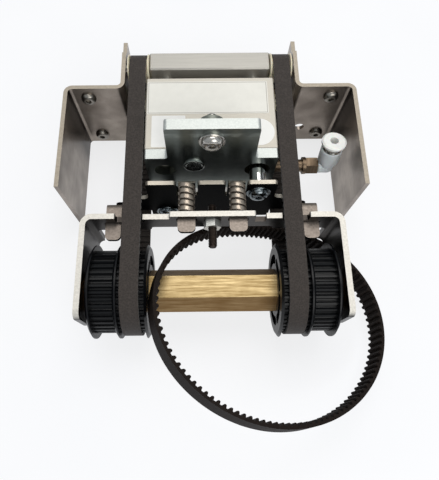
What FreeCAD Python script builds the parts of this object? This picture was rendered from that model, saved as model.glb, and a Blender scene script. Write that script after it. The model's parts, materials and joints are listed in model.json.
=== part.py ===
import FreeCAD, Part
import math
import os

# Lift and cross travel unit of a small pallet conveyor, lying on its back as it is stored.
# Millimetres. +X right along the drive shaft, +Y the lift direction, +Z up from the back.
# Origin: centre of the four flange screws, on the flanges' seating face.

V = FreeCAD.Vector

# Side brackets, bent sheet
SHEET = 2.0
BEND = 2.0
BRACKET_DEPTH = 48.0
WEB_BELT_GAP = 2.25
WEB_RISE = 27.8
WEB_STEP = 8.1
WEB_STEP_CUT = 2.5
FLANGE_REACH = 27.5
WING_LENGTH = 54.3
FOOT_FOLD_START = 3.0
FOOT_FOLD_LENGTH = 20.0
FOOT_RELIEF = 3.0
FOOT_INNER_X = 13.0
FOOT_END_Y = -33.0
FOOT_CORNER_R = 5.0

# Flange screws and the spare flange hole
SCREW_REACH = 19.0
SCREW_SPAN_Z = 33.0
SPARE_HOLE_REACH = 8.5
SPARE_HOLE_Z = -11.0
FLANGE_SCREW_LENGTH = 5.0

# Screw standards: shank, washer flange, dome, socket
M5_R = 2.5
M4_R = 2.0
SCREW_FLANGE_R = 5.8
SCREW_FLANGE_T = 1.1
DOME_R = 4.75
DOME_H = 2.6
SOCKET_AF = 3.0
SOCKET_DEPTH = 1.8
PLAIN_HEAD_R = 3.8
PLAIN_HEAD_H = 2.2
PLAIN_SOCKET_AF = 2.5
PLAIN_SOCKET_DEPTH = 1.3
NECK_DROP = 0.2
NECK_REACH = 0.3
HOLE_CLEARANCE = 0.25
SEAT_CLEARANCE = 0.05
M4_NUT_AF = 7.0
M4_NUT_T = 3.2

# Screws from the bracket feet into the block
BLOCK_SCREW_INSET = 10.5
BLOCK_SCREW_LENGTH = 8.0
SCREW_TIP_GAP = 0.5

# Cylinder block and mounting plate
BLOCK_BELT_GAP = 0.65
BLOCK_LENGTH = 39.5
BLOCK_TOP_Y = 3.5
BLOCK_FACE_Z = 24.5
BLOCK_CHAMFER = 0.5
PLATE_T = 5.0
PLATE_FOOT_Z = -18.5
TONGUE_WIDTH = 40.4
TONGUE_REACH = 24.3
TONGUE_HOLE_DROP = 8.6
TONGUE_SCREW_LENGTH = 12.0
SLOT_NUT_R = 5.5
SLOT_NUT_T = 4.0
PLUG_X = -8.1
PLUG_Z = 18.1
PLUG_R = 5.0
PLUG_DOME = 1.0
PLATE_SCREW_GAP = 0.6
PLATE_SCREW_Z = -11.0

# Guide rods, piston and bushes
ROD_R = 4.0
ROD_INSET = 8.8
ROD_Z = 13.2
REAR_ROD_INSET = 5.0
SHORT_ROD_END = -20.0
ROD_HOLE_R = 6.1
ACCESS_HOLE_R = 5.0
BUSH_R = 5.5
BUSH_LENGTH = 8.0
RUNNING = 0.05
BORE_GAP = 0.5
PISTON_R = 10.0
PISTON_Z = 3.0
PISTON_T = 8.0
PISTON_START = -29.0
PISTON_SPIGOT_R = 2.5
SEAL_R = 1.0
STROKE = 8.0

# Top bar and idler rollers
BAR_IDLER_GAP = 0.15
BAR_BOTTOM = 9.5
BAR_HEIGHT = 10.2
BAR_DEPTH = 37.0
BAR_CHAMFER = 0.6
BAR_SCREW_HEAD_R = 3.5
BAR_SCREW_HEAD_H = 4.0
BAR_SCREW_SINK = 0.5
BAR_SCREW_LENGTH = 14.0
IDLER_DROP = 6.2
IDLER_TREAD_R = 5.87
IDLER_FLANGE_R = 7.7
IDLER_FLANGE_T = 1.1
IDLER_SIDE_GAP = 0.25
IDLER_PIN_R = 2.5
IDLER_PIN_GRIP = 3.5
IDLER_PIN_HEAD_R = 4.0
IDLER_PIN_HEAD_T = 0.6

# Toothed transport belts and pulleys
BELT_GAUGE = 71.3
BELT_WIDTH = 8.0
BELT_BACK = 1.23
TOOTH_PITCH = 3.0
TOOTH_DEPTH = 1.17
TOOTH_WIDTH = 1.7
PULLEY_TEETH = 40
PITCH_LINE = 0.38
LAND_GAP = 0.1
AXIS_DROP = 98.5
AXIS_Z = 5.0
PULLEY_FLANGE_R = 21.2
PULLEY_FLANGE_T = 1.6
PULLEY_RIM_T = 1.0
PULLEY_INNER_MARGIN = 2.4
PULLEY_TOOTH_CLEAR = 11.5
IDLER_TOOTH_CLEAR = 5.0
PULLEY_OUTER_MARGIN = 1.35
INPUT_TOOTH_WIDTH = 9.8
POCKETS = 5
POCKET_OUTER_R = 16.2
POCKET_INNER_R = 12.0
POCKET_DEPTH = 7.0
POCKET_ANGLE = 52.0

# Hexagon shaft and its bearings
HEX_AF = 17.0
JOURNAL_R = 5.0
JOURNAL_OVERHANG = 2.6
SHAFT_BUSH_R = 7.0
SHAFT_BUSH_FLANGE_R = 9.0
SHAFT_BUSH_FLANGE_T = 1.2
CLIP_R = 6.5
CLIP_T = 0.8
CLIP_GROOVE_R = 4.3

# Yoke that carries the shaft
YOKE_SHEET = 2.5
YOKE_BEND = 2.5
YOKE_ARM_GAP = 1.8
YOKE_BASE_DROP = 67.75
YOKE_ARM_END = 15.3
YOKE_FRONT_Z = 24.2
YOKE_ARM_BACK_Z = -5.5
YOKE_TIP_R = 10.0
YOKE_BASE_BACK_Z = 10.0
YOKE_ARCH_HALF = 28.0
YOKE_ARCH_Z = 13.2
YOKE_CORNER_R = 4.0
NOTCH_GAP_IN = 0.35
NOTCH_GAP_OUT = 3.55
BELT_NOTCH_FLOOR = 20.0
YOKE_SHOULDER_Z = 23.0
YOKE_CENTRE_HALF = 19.1
YOKE_CENTRE_Z = 26.0
SIDE_NOTCH_WIDTH = 5.0
SIDE_NOTCH_FLOOR = 19.0

# Crosshead with its guide fingers, tension springs and stop screw
CROSSHEAD_Y = -52.7
CROSSHEAD_TOP = 21.3
CROSSHEAD_BODY_TOP = 9.0
CROSSHEAD_FOOT = -17.0
TAB_BELT_GAP = 1.05
TAB_REACH = 5.5
MID_TAB_HALF = 6.5
TAB_CORNER_R = 1.5
CROSSHEAD_WING_TOP = 5.5
CROSSHEAD_WING_STEP = -2.5
CROSSHEAD_WING_FOOT = -8.0
FINGER_X = 11.5
FINGER_WIDTH = 7.9
FINGER_NECK_WIDTH = 4.6
FINGER_TOP = 23.1
FINGER_TIP = -76.3
ARM_FINGER_GAP = 1.55
ARM_FINGER_WIDTH = 7.0
ARM_FINGER_TOP = 18.0
ARM_FINGER_LEG_Y = -61.0
ARM_FINGER_TIP = -77.9
FINGER_BEND = 1.0
FINGER_TIP_R = 2.2
SLOT_CLEARANCE = 0.6
CROSSHEAD_SCREW_LENGTH = 12.0
SPRING_WIRE_WIDTH = 2.1
SPRING_WIRE_DEPTH = 0.7
SPRING_COIL_R = 3.45
SPRING_TURNS = 4.5
SPRING_END_GAP = 0.05
STOP_SCREW_Z = 19.5
STOP_SCREW_TIP = -82.5
STOP_SCREW_END = -62.5
STOP_NUT_TURN = 15.0

# Swivel push-in fitting on an extension through the right belt loop
PORT_Y = -31.5
PORT_Z = -1.4
PORT_R = 2.5
PORT_DEPTH = 9.0
AIRWAY_R = 1.3
EXTENSION_R = 3.2
EXTENSION_LENGTH = 16.5
EXTENSION_RING_R = 4.4
EXTENSION_RING_T = 1.6
STUD_HEX_AF = 8.0
STUD_HEX_LENGTH = 6.0
SWIVEL_R = 2.6
SWIVEL_LENGTH = 5.5
ELBOW_BARREL_R = 4.2
ELBOW_BARREL_LENGTH = 9.6
ELBOW_GAP = 0.3
ELBOW_LEAN = 12.0
SOCKET_R = 4.9
SOCKET_REACH = 13.0
RING_T = 1.4
COLLAR_R = 6.0
COLLAR_T = 2.2
COLLAR_TRAVEL = 1.5
COLLAR_STEM_R = 3.4
COLLAR_STEM_LENGTH = 8.0
COLLAR_GAP = 0.3
TUBE_BORE_R = 2.1

# Loose toothed belt threaded over the shaft
LOOSE_X = 26.96
LOOSE_Y = -110.92
LOOSE_Z = 4.85
LOOSE_R = 51.49
LOOSE_OVAL = 0.0929
LOOSE_EGG = 0.0214
LOOSE_LEAN_X = 18.43
LOOSE_LEAN_Y = 10.34
LOOSE_WIDTH = 9.0
LOOSE_TEETH = 106
LOOSE_BACK = 1.3
LOOSE_TOOTH_DEPTH = 1.3
LOOSE_RIM_POINTS = 48

# Derived places
BACK_Z = -BRACKET_DEPTH / 2
FRONT_Z = BRACKET_DEPTH / 2
BELT_IN = BELT_GAUGE / 2 - BELT_WIDTH / 2
BELT_OUT = BELT_GAUGE / 2 + BELT_WIDTH / 2
WEB_IN = BELT_OUT + WEB_BELT_GAP
WEB_MID = WEB_IN + SHEET / 2
WING_MID = WEB_IN + FLANGE_REACH + SHEET / 2
SCREW_X = WEB_IN + SCREW_REACH
SPARE_HOLE_X = WEB_IN + SPARE_HOLE_REACH
FOOT_FOLD_END = FOOT_FOLD_START + FOOT_FOLD_LENGTH
FOOT_TOP_Z = BACK_Z + SHEET
BLOCK_BACK_Z = FOOT_TOP_Z
BLOCK_WIDTH = 2 * (BELT_IN - BLOCK_BELT_GAP)
BLOCK_END_Y = BLOCK_TOP_Y - BLOCK_LENGTH
PLATE_Y = BLOCK_END_Y - PLATE_T
TONGUE_TOP = BLOCK_FACE_Z + TONGUE_REACH
TONGUE_HOLE_Z = TONGUE_TOP - TONGUE_HOLE_DROP
ROD_X = BLOCK_WIDTH / 2 - ROD_INSET
PLATE_SCREW_X = ROD_X - ROD_HOLE_R - 2 * M5_R - PLATE_SCREW_GAP
BAR_TOP = BAR_BOTTOM + BAR_HEIGHT
BAR_SCREW_SEAT = BAR_TOP - BAR_SCREW_HEAD_H - BAR_SCREW_SINK
AXIS_Y = -AXIS_DROP
PULLEY_R = PULLEY_TEETH * TOOTH_PITCH / (2 * math.pi) - PITCH_LINE
RUN_IN = PULLEY_R + LAND_GAP
RUN_OUT = RUN_IN + BELT_BACK
IDLER_WRAP = IDLER_TREAD_R + LAND_GAP + BELT_BACK
IDLER_Y = BAR_TOP - IDLER_DROP
IDLER_RISE = RUN_OUT - IDLER_WRAP
IDLER_Z = (AXIS_Z + IDLER_RISE, AXIS_Z - IDLER_RISE)
BAR_WIDTH = 2 * (BELT_IN - IDLER_SIDE_GAP - IDLER_FLANGE_T - BAR_IDLER_GAP)
BAR_BACK_Z = AXIS_Z - BAR_DEPTH / 2
BAR_FRONT_Z = AXIS_Z + BAR_DEPTH / 2
REAR_ROD_Z = BAR_BACK_Z + REAR_ROD_INSET
PULLEY_FACE = BELT_IN - PULLEY_INNER_MARGIN - PULLEY_RIM_T
PULLEY_MID = BELT_OUT + PULLEY_OUTER_MARGIN + PULLEY_FLANGE_T
PULLEY_END = PULLEY_MID + INPUT_TOOTH_WIDTH + PULLEY_FLANGE_T
ARM_IN = PULLEY_END + YOKE_ARM_GAP
ARM_OUT = ARM_IN + YOKE_SHEET
YOKE_BASE_Y = -YOKE_BASE_DROP
BELT_NOTCH_IN = BELT_IN - NOTCH_GAP_IN
BELT_NOTCH_OUT = BELT_OUT + NOTCH_GAP_OUT
TAB_OUTER = BELT_IN - TAB_BELT_GAP
TAB_INNER = ROD_X - TAB_REACH
FINGER_Z = FINGER_TOP - SHEET / 2
ARM_FINGER_Z = ARM_FINGER_TOP - SHEET / 2
ARM_FINGER_IN = BELT_OUT + ARM_FINGER_GAP
ARM_FINGER_X = ARM_FINGER_IN + ARM_FINGER_WIDTH / 2
CROSSHEAD_BACK_Y = CROSSHEAD_Y + SHEET
EXTENSION_END = BLOCK_WIDTH / 2 + EXTENSION_LENGTH + EXTENSION_RING_T
STUD_HEX_END = EXTENSION_END + STUD_HEX_LENGTH
ELBOW_X = STUD_HEX_END + ELBOW_GAP + ELBOW_BARREL_LENGTH / 2
SOCKET_END = PORT_Z + SOCKET_REACH
COLLAR_FACE = SOCKET_END + RING_T + COLLAR_TRAVEL + COLLAR_GAP
PISTON_END = PISTON_START + PISTON_T


def box(x0, x1, y0, y1, z0, z1):
    return Part.makeBox(x1 - x0, y1 - y0, z1 - z0, V(x0, y0, z0))


def rod_x(y, z, r, x0, x1):
    return Part.makeCylinder(r, x1 - x0, V(x0, y, z), V(1, 0, 0))


def rod_y(x, z, r, y0, y1):
    return Part.makeCylinder(r, y1 - y0, V(x, y0, z), V(0, 1, 0))


def rod_z(x, y, r, z0, z1):
    return Part.makeCylinder(r, z1 - z0, V(x, y, z0), V(0, 0, 1))


def mirrored(shape):
    return shape.mirror(V(0, 0, 0), V(1, 0, 0))


def both_sides(shape):
    return Part.makeCompound([shape, mirrored(shape)])


def in_plane(plane, a, b, level):
    """A flat outline point: plane XY, XZ or YZ, at a level on the third axis."""
    if plane == "XY":
        return V(a, b, level)
    if plane == "XZ":
        return V(a, level, b)
    return V(level, a, b)


def outline(points, plane="XY", level=0.0):
    """Closed wire through (a, b, corner radius) points, with each corner rounded by an arc."""
    edges = []
    ends = []
    count = len(points)
    for i in range(count):
        a, b, r = points[i]
        here = V(a, b, 0)
        back = V(*points[i - 1][:2], 0) - here
        ahead = V(*points[(i + 1) % count][:2], 0) - here
        if r <= 0:
            ends.append((here, here, None))
            continue
        back.normalize()
        ahead.normalize()
        half = back.getAngle(ahead) / 2
        reach = r / math.tan(half)
        middle = back + ahead
        middle.normalize()
        top = here + middle * (r / math.sin(half) - r)
        ends.append((here + back * reach, here + ahead * reach, top))
    place = lambda p: in_plane(plane, p.x, p.y, level)
    for i in range(count):
        start, end, top = ends[i]
        if top is not None:
            edges.append(Part.Arc(place(start), place(top), place(end)).toShape())
        following = ends[(i + 1) % count][0]
        if (following - end).Length > 1e-6:
            edges.append(Part.LineSegment(place(end), place(following)).toShape())
    return Part.Wire(edges)


def prism(points, plane, low, high):
    """Solid between two levels with a rounded outline."""
    axis = {"XY": V(0, 0, 1), "XZ": V(0, 1, 0), "YZ": V(1, 0, 0)}[plane]
    return Part.Face(outline(points, plane, low)).extrude(axis * (high - low))


def bent_strip(path, thickness, bend, plane, low, high):
    """Sheet bent along an open path of its middle line, with an inside bend radius."""
    sides = ([], [])
    for i, (a, b) in enumerate(path):
        here = V(a, b, 0)
        normals = []
        if i > 0:
            run = here - V(*path[i - 1], 0)
            run.normalize()
            normals.append(V(-run.y, run.x, 0))
        if i < len(path) - 1:
            run = V(*path[i + 1], 0) - here
            run.normalize()
            normals.append(V(-run.y, run.x, 0))
        if len(normals) == 1:
            step = normals[0] * (thickness / 2)
            radii = (0.0, 0.0)
        else:
            step = (normals[0] + normals[1]) * (thickness / 2 / (1 + normals[0].dot(normals[1])))
            left_turn = normals[0].cross(normals[1]).z > 0
            radii = (bend, bend + thickness) if left_turn else (bend + thickness, bend)
        sides[0].append((a + step.x, b + step.y, radii[0]))
        sides[1].append((a - step.x, b - step.y, radii[1]))
    return prism(sides[0] + sides[1][::-1], plane, low, high)


def turned(profile, centre, axis):
    """Solid of revolution: profile of (distance along axis, radius) points from a centre."""
    side = V(0, 0, 1) if abs(axis.z) < 0.5 else V(1, 0, 0)
    points = [centre + axis * a + side * r for a, r in profile]
    face = Part.Face(Part.makePolygon(points + points[:1]))
    return face.revolve(centre, axis, 360)


def hexagon(across_flats, plane, a, b, low, high, turn=0.0):
    corner = across_flats / math.sqrt(3)
    points = []
    for k in range(6):
        angle = math.radians(turn + 60 * k)
        points.append((a + corner * math.cos(angle), b + corner * math.sin(angle), 0))
    return prism(points, plane, low, high)


def button_screw(x, y, z, length, r=M5_R):
    """Flanged button-head screw: the head stands on -Y of the seat y, the shank runs along +Y."""
    head = turned([(0, 0), (0, SCREW_FLANGE_R), (-SCREW_FLANGE_T, SCREW_FLANGE_R),
                   (-SCREW_FLANGE_T, DOME_R), (-SCREW_FLANGE_T - DOME_H * 0.55, DOME_R * 0.82),
                   (-SCREW_FLANGE_T - DOME_H, DOME_R * 0.42), (-SCREW_FLANGE_T - DOME_H, 0)],
                  V(x, y, z), V(0, 1, 0))
    top = y - SCREW_FLANGE_T - DOME_H
    socket = hexagon(SOCKET_AF, "XZ", x, z, top, top + SOCKET_DEPTH)
    return head.fuse(rod_y(x, z, r, y, y + length)).cut(socket)


def plain_screw(x, y, z, length):
    """Button-head screw placed like the flanged one, with a neck inside the sheet it clamps."""
    r, h = PLAIN_HEAD_R, PLAIN_HEAD_H
    head = turned([(0, 0), (0, r), (-0.45 * h, 0.88 * r), (-h, 0.5 * r), (-h, 0)], V(x, y, z), V(0, 1, 0))
    socket = hexagon(PLAIN_SOCKET_AF, "XZ", x, z, y - h, y - h + PLAIN_SOCKET_DEPTH)
    thread = y + SHEET + NECK_REACH
    shank = rod_y(x, z, M4_R - NECK_DROP, y, thread).fuse(rod_y(x, z, M4_R, thread, y + length))
    return head.fuse(shank).cut(socket)


def countersunk(centre, axis, length, r, slack=0.0):
    """Countersunk screw, or its seat when slack is added: centre on the outer face, axis inwards."""
    rim = 2 * r + slack
    body = turned([(0, 0), (0, rim), (rim - r - slack, r + slack), (length, r + slack), (length, 0)],
                  centre, axis)
    return body


# Fixed frame

def side_bracket():
    bracket = bent_strip([(WEB_MID, WEB_RISE), (WEB_MID, -SHEET / 2), (WING_MID, -SHEET / 2),
                          (WING_MID, -WING_LENGTH)], SHEET, BEND, "XY", BACK_Z, FRONT_Z)
    for side in (1, -1):
        hole_z = side * SCREW_SPAN_Z / 2
        bracket = bracket.cut(rod_y(SCREW_X, hole_z, M4_R + HOLE_CLEARANCE, -2 * SHEET, SHEET))
        corner = side * FRONT_Z
        low, high = sorted((corner - side * WEB_STEP_CUT, corner + side))
        step = box(WEB_IN - 1, WEB_IN + SHEET + 1, WEB_RISE - WEB_STEP, WEB_RISE + 1, low, high)
        bracket = bracket.cut(step)
    fold = FOOT_TOP_Z + BEND
    web = (WEB_IN - 1, WEB_IN + SHEET + 1)
    bracket = bracket.cut(box(*web, FOOT_FOLD_START, FOOT_FOLD_END, BACK_Z - 1, fold))
    bracket = bracket.fuse(bracket_foot(fold))
    for x, y in block_screw_places():
        bracket = bracket.cut(countersunk(V(x, y, BACK_Z), V(0, 0, 1), 2 * SHEET, M4_R, SEAT_CLEARANCE))
    return bracket.removeSplitter()


def spare_hole():
    return rod_y(SPARE_HOLE_X, SPARE_HOLE_Z, M5_R + HOLE_CLEARANCE, -2 * SHEET, SHEET)


def bracket_foot(fold):
    """Tab folded in from the web's back edge, reaching behind the belt to the block."""
    foot_z = BACK_Z + SHEET / 2
    outer = WEB_IN - FOOT_RELIEF
    tab = bent_strip([(WEB_MID, fold), (WEB_MID, foot_z), (outer, foot_z)], SHEET, BEND, "XZ",
                     FOOT_FOLD_START, FOOT_FOLD_END)
    sole = prism([(outer, FOOT_FOLD_END, 0), (FOOT_INNER_X, FOOT_FOLD_START, FOOT_CORNER_R),
                  (FOOT_INNER_X, FOOT_END_Y, FOOT_CORNER_R), (outer, FOOT_END_Y, FOOT_CORNER_R)],
                 "XY", BACK_Z, FOOT_TOP_Z)
    return tab.fuse(sole)


def flange_screws():
    screws = []
    for side_x in (1, -1):
        for side_z in (1, -1):
            z = side_z * SCREW_SPAN_Z / 2
            screws.append(plain_screw(side_x * SCREW_X, -SHEET, z, FLANGE_SCREW_LENGTH))
    return Part.makeCompound(screws)


def block_screw_places():
    x = BLOCK_WIDTH / 2 - BLOCK_SCREW_INSET
    return [(x, BLOCK_END_Y + BLOCK_SCREW_INSET), (x, BLOCK_TOP_Y - BLOCK_SCREW_INSET)]


def block_screws():
    screws = []
    for x, y in block_screw_places():
        screw = countersunk(V(x, y, BACK_Z), V(0, 0, 1), BLOCK_SCREW_LENGTH, M4_R)
        screws += [screw, mirrored(screw)]
    return Part.makeCompound(screws)


def long_rod_places():
    return [(ROD_X, ROD_Z), (-ROD_X, REAR_ROD_Z)]


def cylinder_block():
    half = BLOCK_WIDTH / 2
    block = box(-half, half, BLOCK_END_Y, BLOCK_TOP_Y, BLOCK_BACK_Z, BLOCK_FACE_Z)
    block = block.makeChamfer(BLOCK_CHAMFER, block.Edges)
    clear_r = ROD_R + BORE_GAP
    seat_r = BUSH_R + SEAT_CLEARANCE
    for x, z in long_rod_places() + [(-ROD_X, ROD_Z)]:
        block = block.cut(rod_y(x, z, clear_r, BLOCK_END_Y - 1, BLOCK_TOP_Y + 1))
        block = block.cut(rod_y(x, z, seat_r, BLOCK_TOP_Y - BUSH_LENGTH, BLOCK_TOP_Y + 1))
    for x, z in long_rod_places():
        block = block.cut(rod_y(x, z, seat_r, BLOCK_END_Y - 1, BLOCK_END_Y + BUSH_LENGTH))
    bore_end = PISTON_END + STROKE + 1
    block = block.cut(rod_y(0, PISTON_Z, PISTON_R + RUNNING, BLOCK_END_Y - 1, bore_end))
    block = block.cut(rod_y(0, PISTON_Z, clear_r, bore_end - 1, BLOCK_TOP_Y + 1))
    block = block.cut(rod_y(0, PISTON_Z, seat_r, BLOCK_TOP_Y - BUSH_LENGTH, BLOCK_TOP_Y + 1))
    block = block.cut(rod_x(PORT_Y, PORT_Z, PORT_R + SEAT_CLEARANCE, half - PORT_DEPTH, half + 1))
    block = block.cut(rod_x(PORT_Y, PORT_Z, AIRWAY_R, 0, half))
    tip = BACK_Z + BLOCK_SCREW_LENGTH + SCREW_TIP_GAP
    for x, y in block_screw_places():
        hole = rod_z(x, y, M4_R + SEAT_CLEARANCE, BLOCK_BACK_Z - 1, tip)
        block = block.cut(hole).cut(mirrored(hole))
    for x in (PLATE_SCREW_X, -PLATE_SCREW_X):
        depth = BLOCK_END_Y + 2 * PLATE_T
        block = block.cut(rod_y(x, PLATE_SCREW_Z, M5_R + SEAT_CLEARANCE, BLOCK_END_Y - 1, depth))
    return block


def rod_bushes():
    bushes = []
    for x, z in long_rod_places() + [(-ROD_X, ROD_Z), (0, PISTON_Z)]:
        bushes.append((x, z, BLOCK_TOP_Y - BUSH_LENGTH))
    for x, z in long_rod_places():
        bushes.append((x, z, BLOCK_END_Y))
    solids = []
    for x, z, y in bushes:
        tube = rod_y(x, z, BUSH_R, y, y + BUSH_LENGTH)
        solids.append(tube.cut(rod_y(x, z, ROD_R + RUNNING, y - 1, y + BUSH_LENGTH + 1)))
    return Part.makeCompound(solids)


def mounting_plate():
    half = BLOCK_WIDTH / 2
    tongue = TONGUE_WIDTH / 2
    plate = prism([(-half, PLATE_FOOT_Z, 2), (half, PLATE_FOOT_Z, 2), (half, BLOCK_FACE_Z, 0.8),
                   (tongue, BLOCK_FACE_Z, 1.5), (tongue, TONGUE_TOP, 1.5), (-tongue, TONGUE_TOP, 1.5),
                   (-tongue, BLOCK_FACE_Z, 1.5), (-half, BLOCK_FACE_Z, 0.8)], "XZ", PLATE_Y, BLOCK_END_Y)
    holes = [(0, TONGUE_HOLE_Z, M5_R + HOLE_CLEARANCE), (PLUG_X, PLUG_Z, PLUG_R + SEAT_CLEARANCE),
             (-ROD_X, ROD_Z, ACCESS_HOLE_R)]
    for x, z in long_rod_places():
        holes.append((x, z, ROD_HOLE_R))
    for x, z, r in holes:
        plate = plate.cut(rod_y(x, z, r, PLATE_Y - 1, BLOCK_END_Y + 1))
    for x in (PLATE_SCREW_X, -PLATE_SCREW_X):
        seat = countersunk(V(x, PLATE_Y, PLATE_SCREW_Z), V(0, 1, 0), 2 * PLATE_T, M5_R, SEAT_CLEARANCE)
        plate = plate.cut(seat)
    return plate


def plate_screws():
    length = PLATE_T + 1.8 * PLATE_T
    right = countersunk(V(PLATE_SCREW_X, PLATE_Y, PLATE_SCREW_Z), V(0, 1, 0), length, M5_R)
    return both_sides(right)


def plate_plug():
    """Round plug pressed into the plate, its face slightly domed."""
    rise, r = PLUG_DOME, PLUG_R
    profile = [(-rise, 0), (-rise, 0.35 * r), (-0.6 * rise, 0.75 * r), (0, r), (PLATE_T, r), (PLATE_T, 0)]
    return turned(profile, V(PLUG_X, PLATE_Y, PLUG_Z), V(0, 1, 0))


def tongue_screw():
    return button_screw(0, PLATE_Y, TONGUE_HOLE_Z, TONGUE_SCREW_LENGTH)


def slot_nut():
    end = BLOCK_END_Y + SLOT_NUT_T
    nut = rod_y(0, TONGUE_HOLE_Z, SLOT_NUT_R, BLOCK_END_Y, end)
    return nut.cut(rod_y(0, TONGUE_HOLE_Z, M5_R + SEAT_CLEARANCE, BLOCK_END_Y - 1, end + 1))


# Push-in fitting

def port_extension():
    face = BLOCK_WIDTH / 2
    ring_end = face + EXTENSION_LENGTH + EXTENSION_RING_T
    body = rod_x(PORT_Y, PORT_Z, PORT_R, face - PORT_DEPTH + 1, face)
    body = body.fuse(rod_x(PORT_Y, PORT_Z, EXTENSION_R, face, face + EXTENSION_LENGTH))
    body = body.fuse(rod_x(PORT_Y, PORT_Z, EXTENSION_RING_R, face + EXTENSION_LENGTH, ring_end))
    return body.cut(rod_x(PORT_Y, PORT_Z, AIRWAY_R, 0, ring_end + 1)).removeSplitter()


def fitting_stud():
    body = hexagon(STUD_HEX_AF, "YZ", PORT_Y, PORT_Z, EXTENSION_END, STUD_HEX_END)
    body = body.fuse(rod_x(PORT_Y, PORT_Z, SWIVEL_R, STUD_HEX_END, STUD_HEX_END + SWIVEL_LENGTH))
    return body.cut(rod_x(PORT_Y, PORT_Z, AIRWAY_R, EXTENSION_END - 1, STUD_HEX_END + SWIVEL_LENGTH + 1))


def leaned(shape):
    shape.rotate(V(ELBOW_X, PORT_Y, PORT_Z), V(1, 0, 0), -ELBOW_LEAN)
    return shape


def fitting_elbow():
    start = STUD_HEX_END + ELBOW_GAP
    length, r = ELBOW_BARREL_LENGTH, ELBOW_BARREL_R
    barrel = turned([(0, 0), (0, r - 0.5), (0.5, r), (length - 2.0, r), (length - 0.6, r - 0.9),
                     (length, r - 1.8), (length, 0)], V(start, PORT_Y, PORT_Z), V(1, 0, 0))
    body = barrel.fuse(rod_z(ELBOW_X, PORT_Y, SOCKET_R, PORT_Z, SOCKET_END))
    pocket = SWIVEL_LENGTH - ELBOW_GAP + 0.5
    body = body.cut(rod_x(PORT_Y, PORT_Z, SWIVEL_R + RUNNING, start - 1, start + pocket))
    seat = COLLAR_FACE - COLLAR_STEM_LENGTH - COLLAR_TRAVEL - COLLAR_GAP
    body = body.cut(rod_z(ELBOW_X, PORT_Y, COLLAR_STEM_R + RUNNING, seat, SOCKET_END + 1))
    body = body.cut(rod_z(ELBOW_X, PORT_Y, AIRWAY_R, PORT_Z, SOCKET_END))
    return leaned(body.removeSplitter())


def fitting_ring():
    end = SOCKET_END + RING_T
    ring = rod_z(ELBOW_X, PORT_Y, SOCKET_R - 0.2, SOCKET_END, end)
    return leaned(ring.cut(rod_z(ELBOW_X, PORT_Y, COLLAR_STEM_R + RUNNING, SOCKET_END - 1, end + 1)))


def release_collar():
    end, r = COLLAR_T, COLLAR_R
    head = turned([(0, 0), (0, r - 0.6), (0.6, r), (end - 0.6, r), (end, r - 0.8), (end, 0)],
                  V(ELBOW_X, PORT_Y, COLLAR_FACE), V(0, 0, 1))
    stem = COLLAR_FACE - COLLAR_STEM_LENGTH
    collar = head.fuse(rod_z(ELBOW_X, PORT_Y, COLLAR_STEM_R, stem, COLLAR_FACE))
    bore = rod_z(ELBOW_X, PORT_Y, TUBE_BORE_R, stem - 1, COLLAR_FACE + COLLAR_T + 1)
    return leaned(collar.cut(bore).removeSplitter())


# Lifting carriage

def idler_places():
    return [(side, z) for side in (1, -1) for z in IDLER_Z]


def top_bar():
    half = BAR_WIDTH / 2
    bar = box(-half, half, BAR_BOTTOM, BAR_TOP, BAR_BACK_Z, BAR_FRONT_Z)
    bar = bar.makeChamfer(BAR_CHAMFER, bar.Edges)
    for side, z in idler_places():
        low, high = sorted((side * (half - IDLER_PIN_GRIP), side * (half + 1)))
        bar = bar.cut(rod_x(IDLER_Y, z, IDLER_PIN_R + SEAT_CLEARANCE, low, high))
    for x, z in bar_screw_places():
        bar = bar.cut(rod_y(x, z, M4_R + HOLE_CLEARANCE, BAR_BOTTOM - 1, BAR_TOP + 1))
        bar = bar.cut(rod_y(x, z, BAR_SCREW_HEAD_R + HOLE_CLEARANCE, BAR_SCREW_SEAT, BAR_TOP + 1))
    return bar


def bar_screw_places():
    return long_rod_places() + [(-ROD_X, ROD_Z), (0, PISTON_Z)]


def bar_screws():
    top = BAR_SCREW_SEAT + BAR_SCREW_HEAD_H
    screws = []
    for x, z in bar_screw_places():
        screw = rod_y(x, z, BAR_SCREW_HEAD_R, BAR_SCREW_SEAT, top)
        screw = screw.fuse(rod_y(x, z, M4_R, BAR_SCREW_SEAT - BAR_SCREW_LENGTH, BAR_SCREW_SEAT))
        screws.append(screw.cut(hexagon(SOCKET_AF, "XZ", x, z, top - SOCKET_DEPTH, top + 1)))
    return Part.makeCompound(screws)


def rod_with_threads(x, z, y0, y1, lower_thread):
    rod = rod_y(x, z, ROD_R, y0, y1)
    rod = rod.cut(rod_y(x, z, M4_R + SEAT_CLEARANCE, BAR_SCREW_SEAT - BAR_SCREW_LENGTH - 1, y1 + 1))
    if lower_thread:
        rod = rod.cut(rod_y(x, z, M5_R + SEAT_CLEARANCE, y0 - 1, y0 + CROSSHEAD_SCREW_LENGTH))
    return rod


def guide_rod_right():
    return rod_with_threads(ROD_X, ROD_Z, CROSSHEAD_BACK_Y, BAR_BOTTOM, True)


def guide_rod_rear():
    return rod_with_threads(-ROD_X, REAR_ROD_Z, CROSSHEAD_BACK_Y, BAR_BOTTOM, True)


def guide_rod_left():
    return rod_with_threads(-ROD_X, ROD_Z, SHORT_ROD_END, BAR_BOTTOM, False)


def piston_rod():
    rod = rod_with_threads(0, PISTON_Z, PISTON_END, BAR_BOTTOM, False)
    spigot = rod_y(0, PISTON_Z, PISTON_SPIGOT_R, PISTON_START, PISTON_END)
    return rod.fuse(spigot).removeSplitter()


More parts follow.
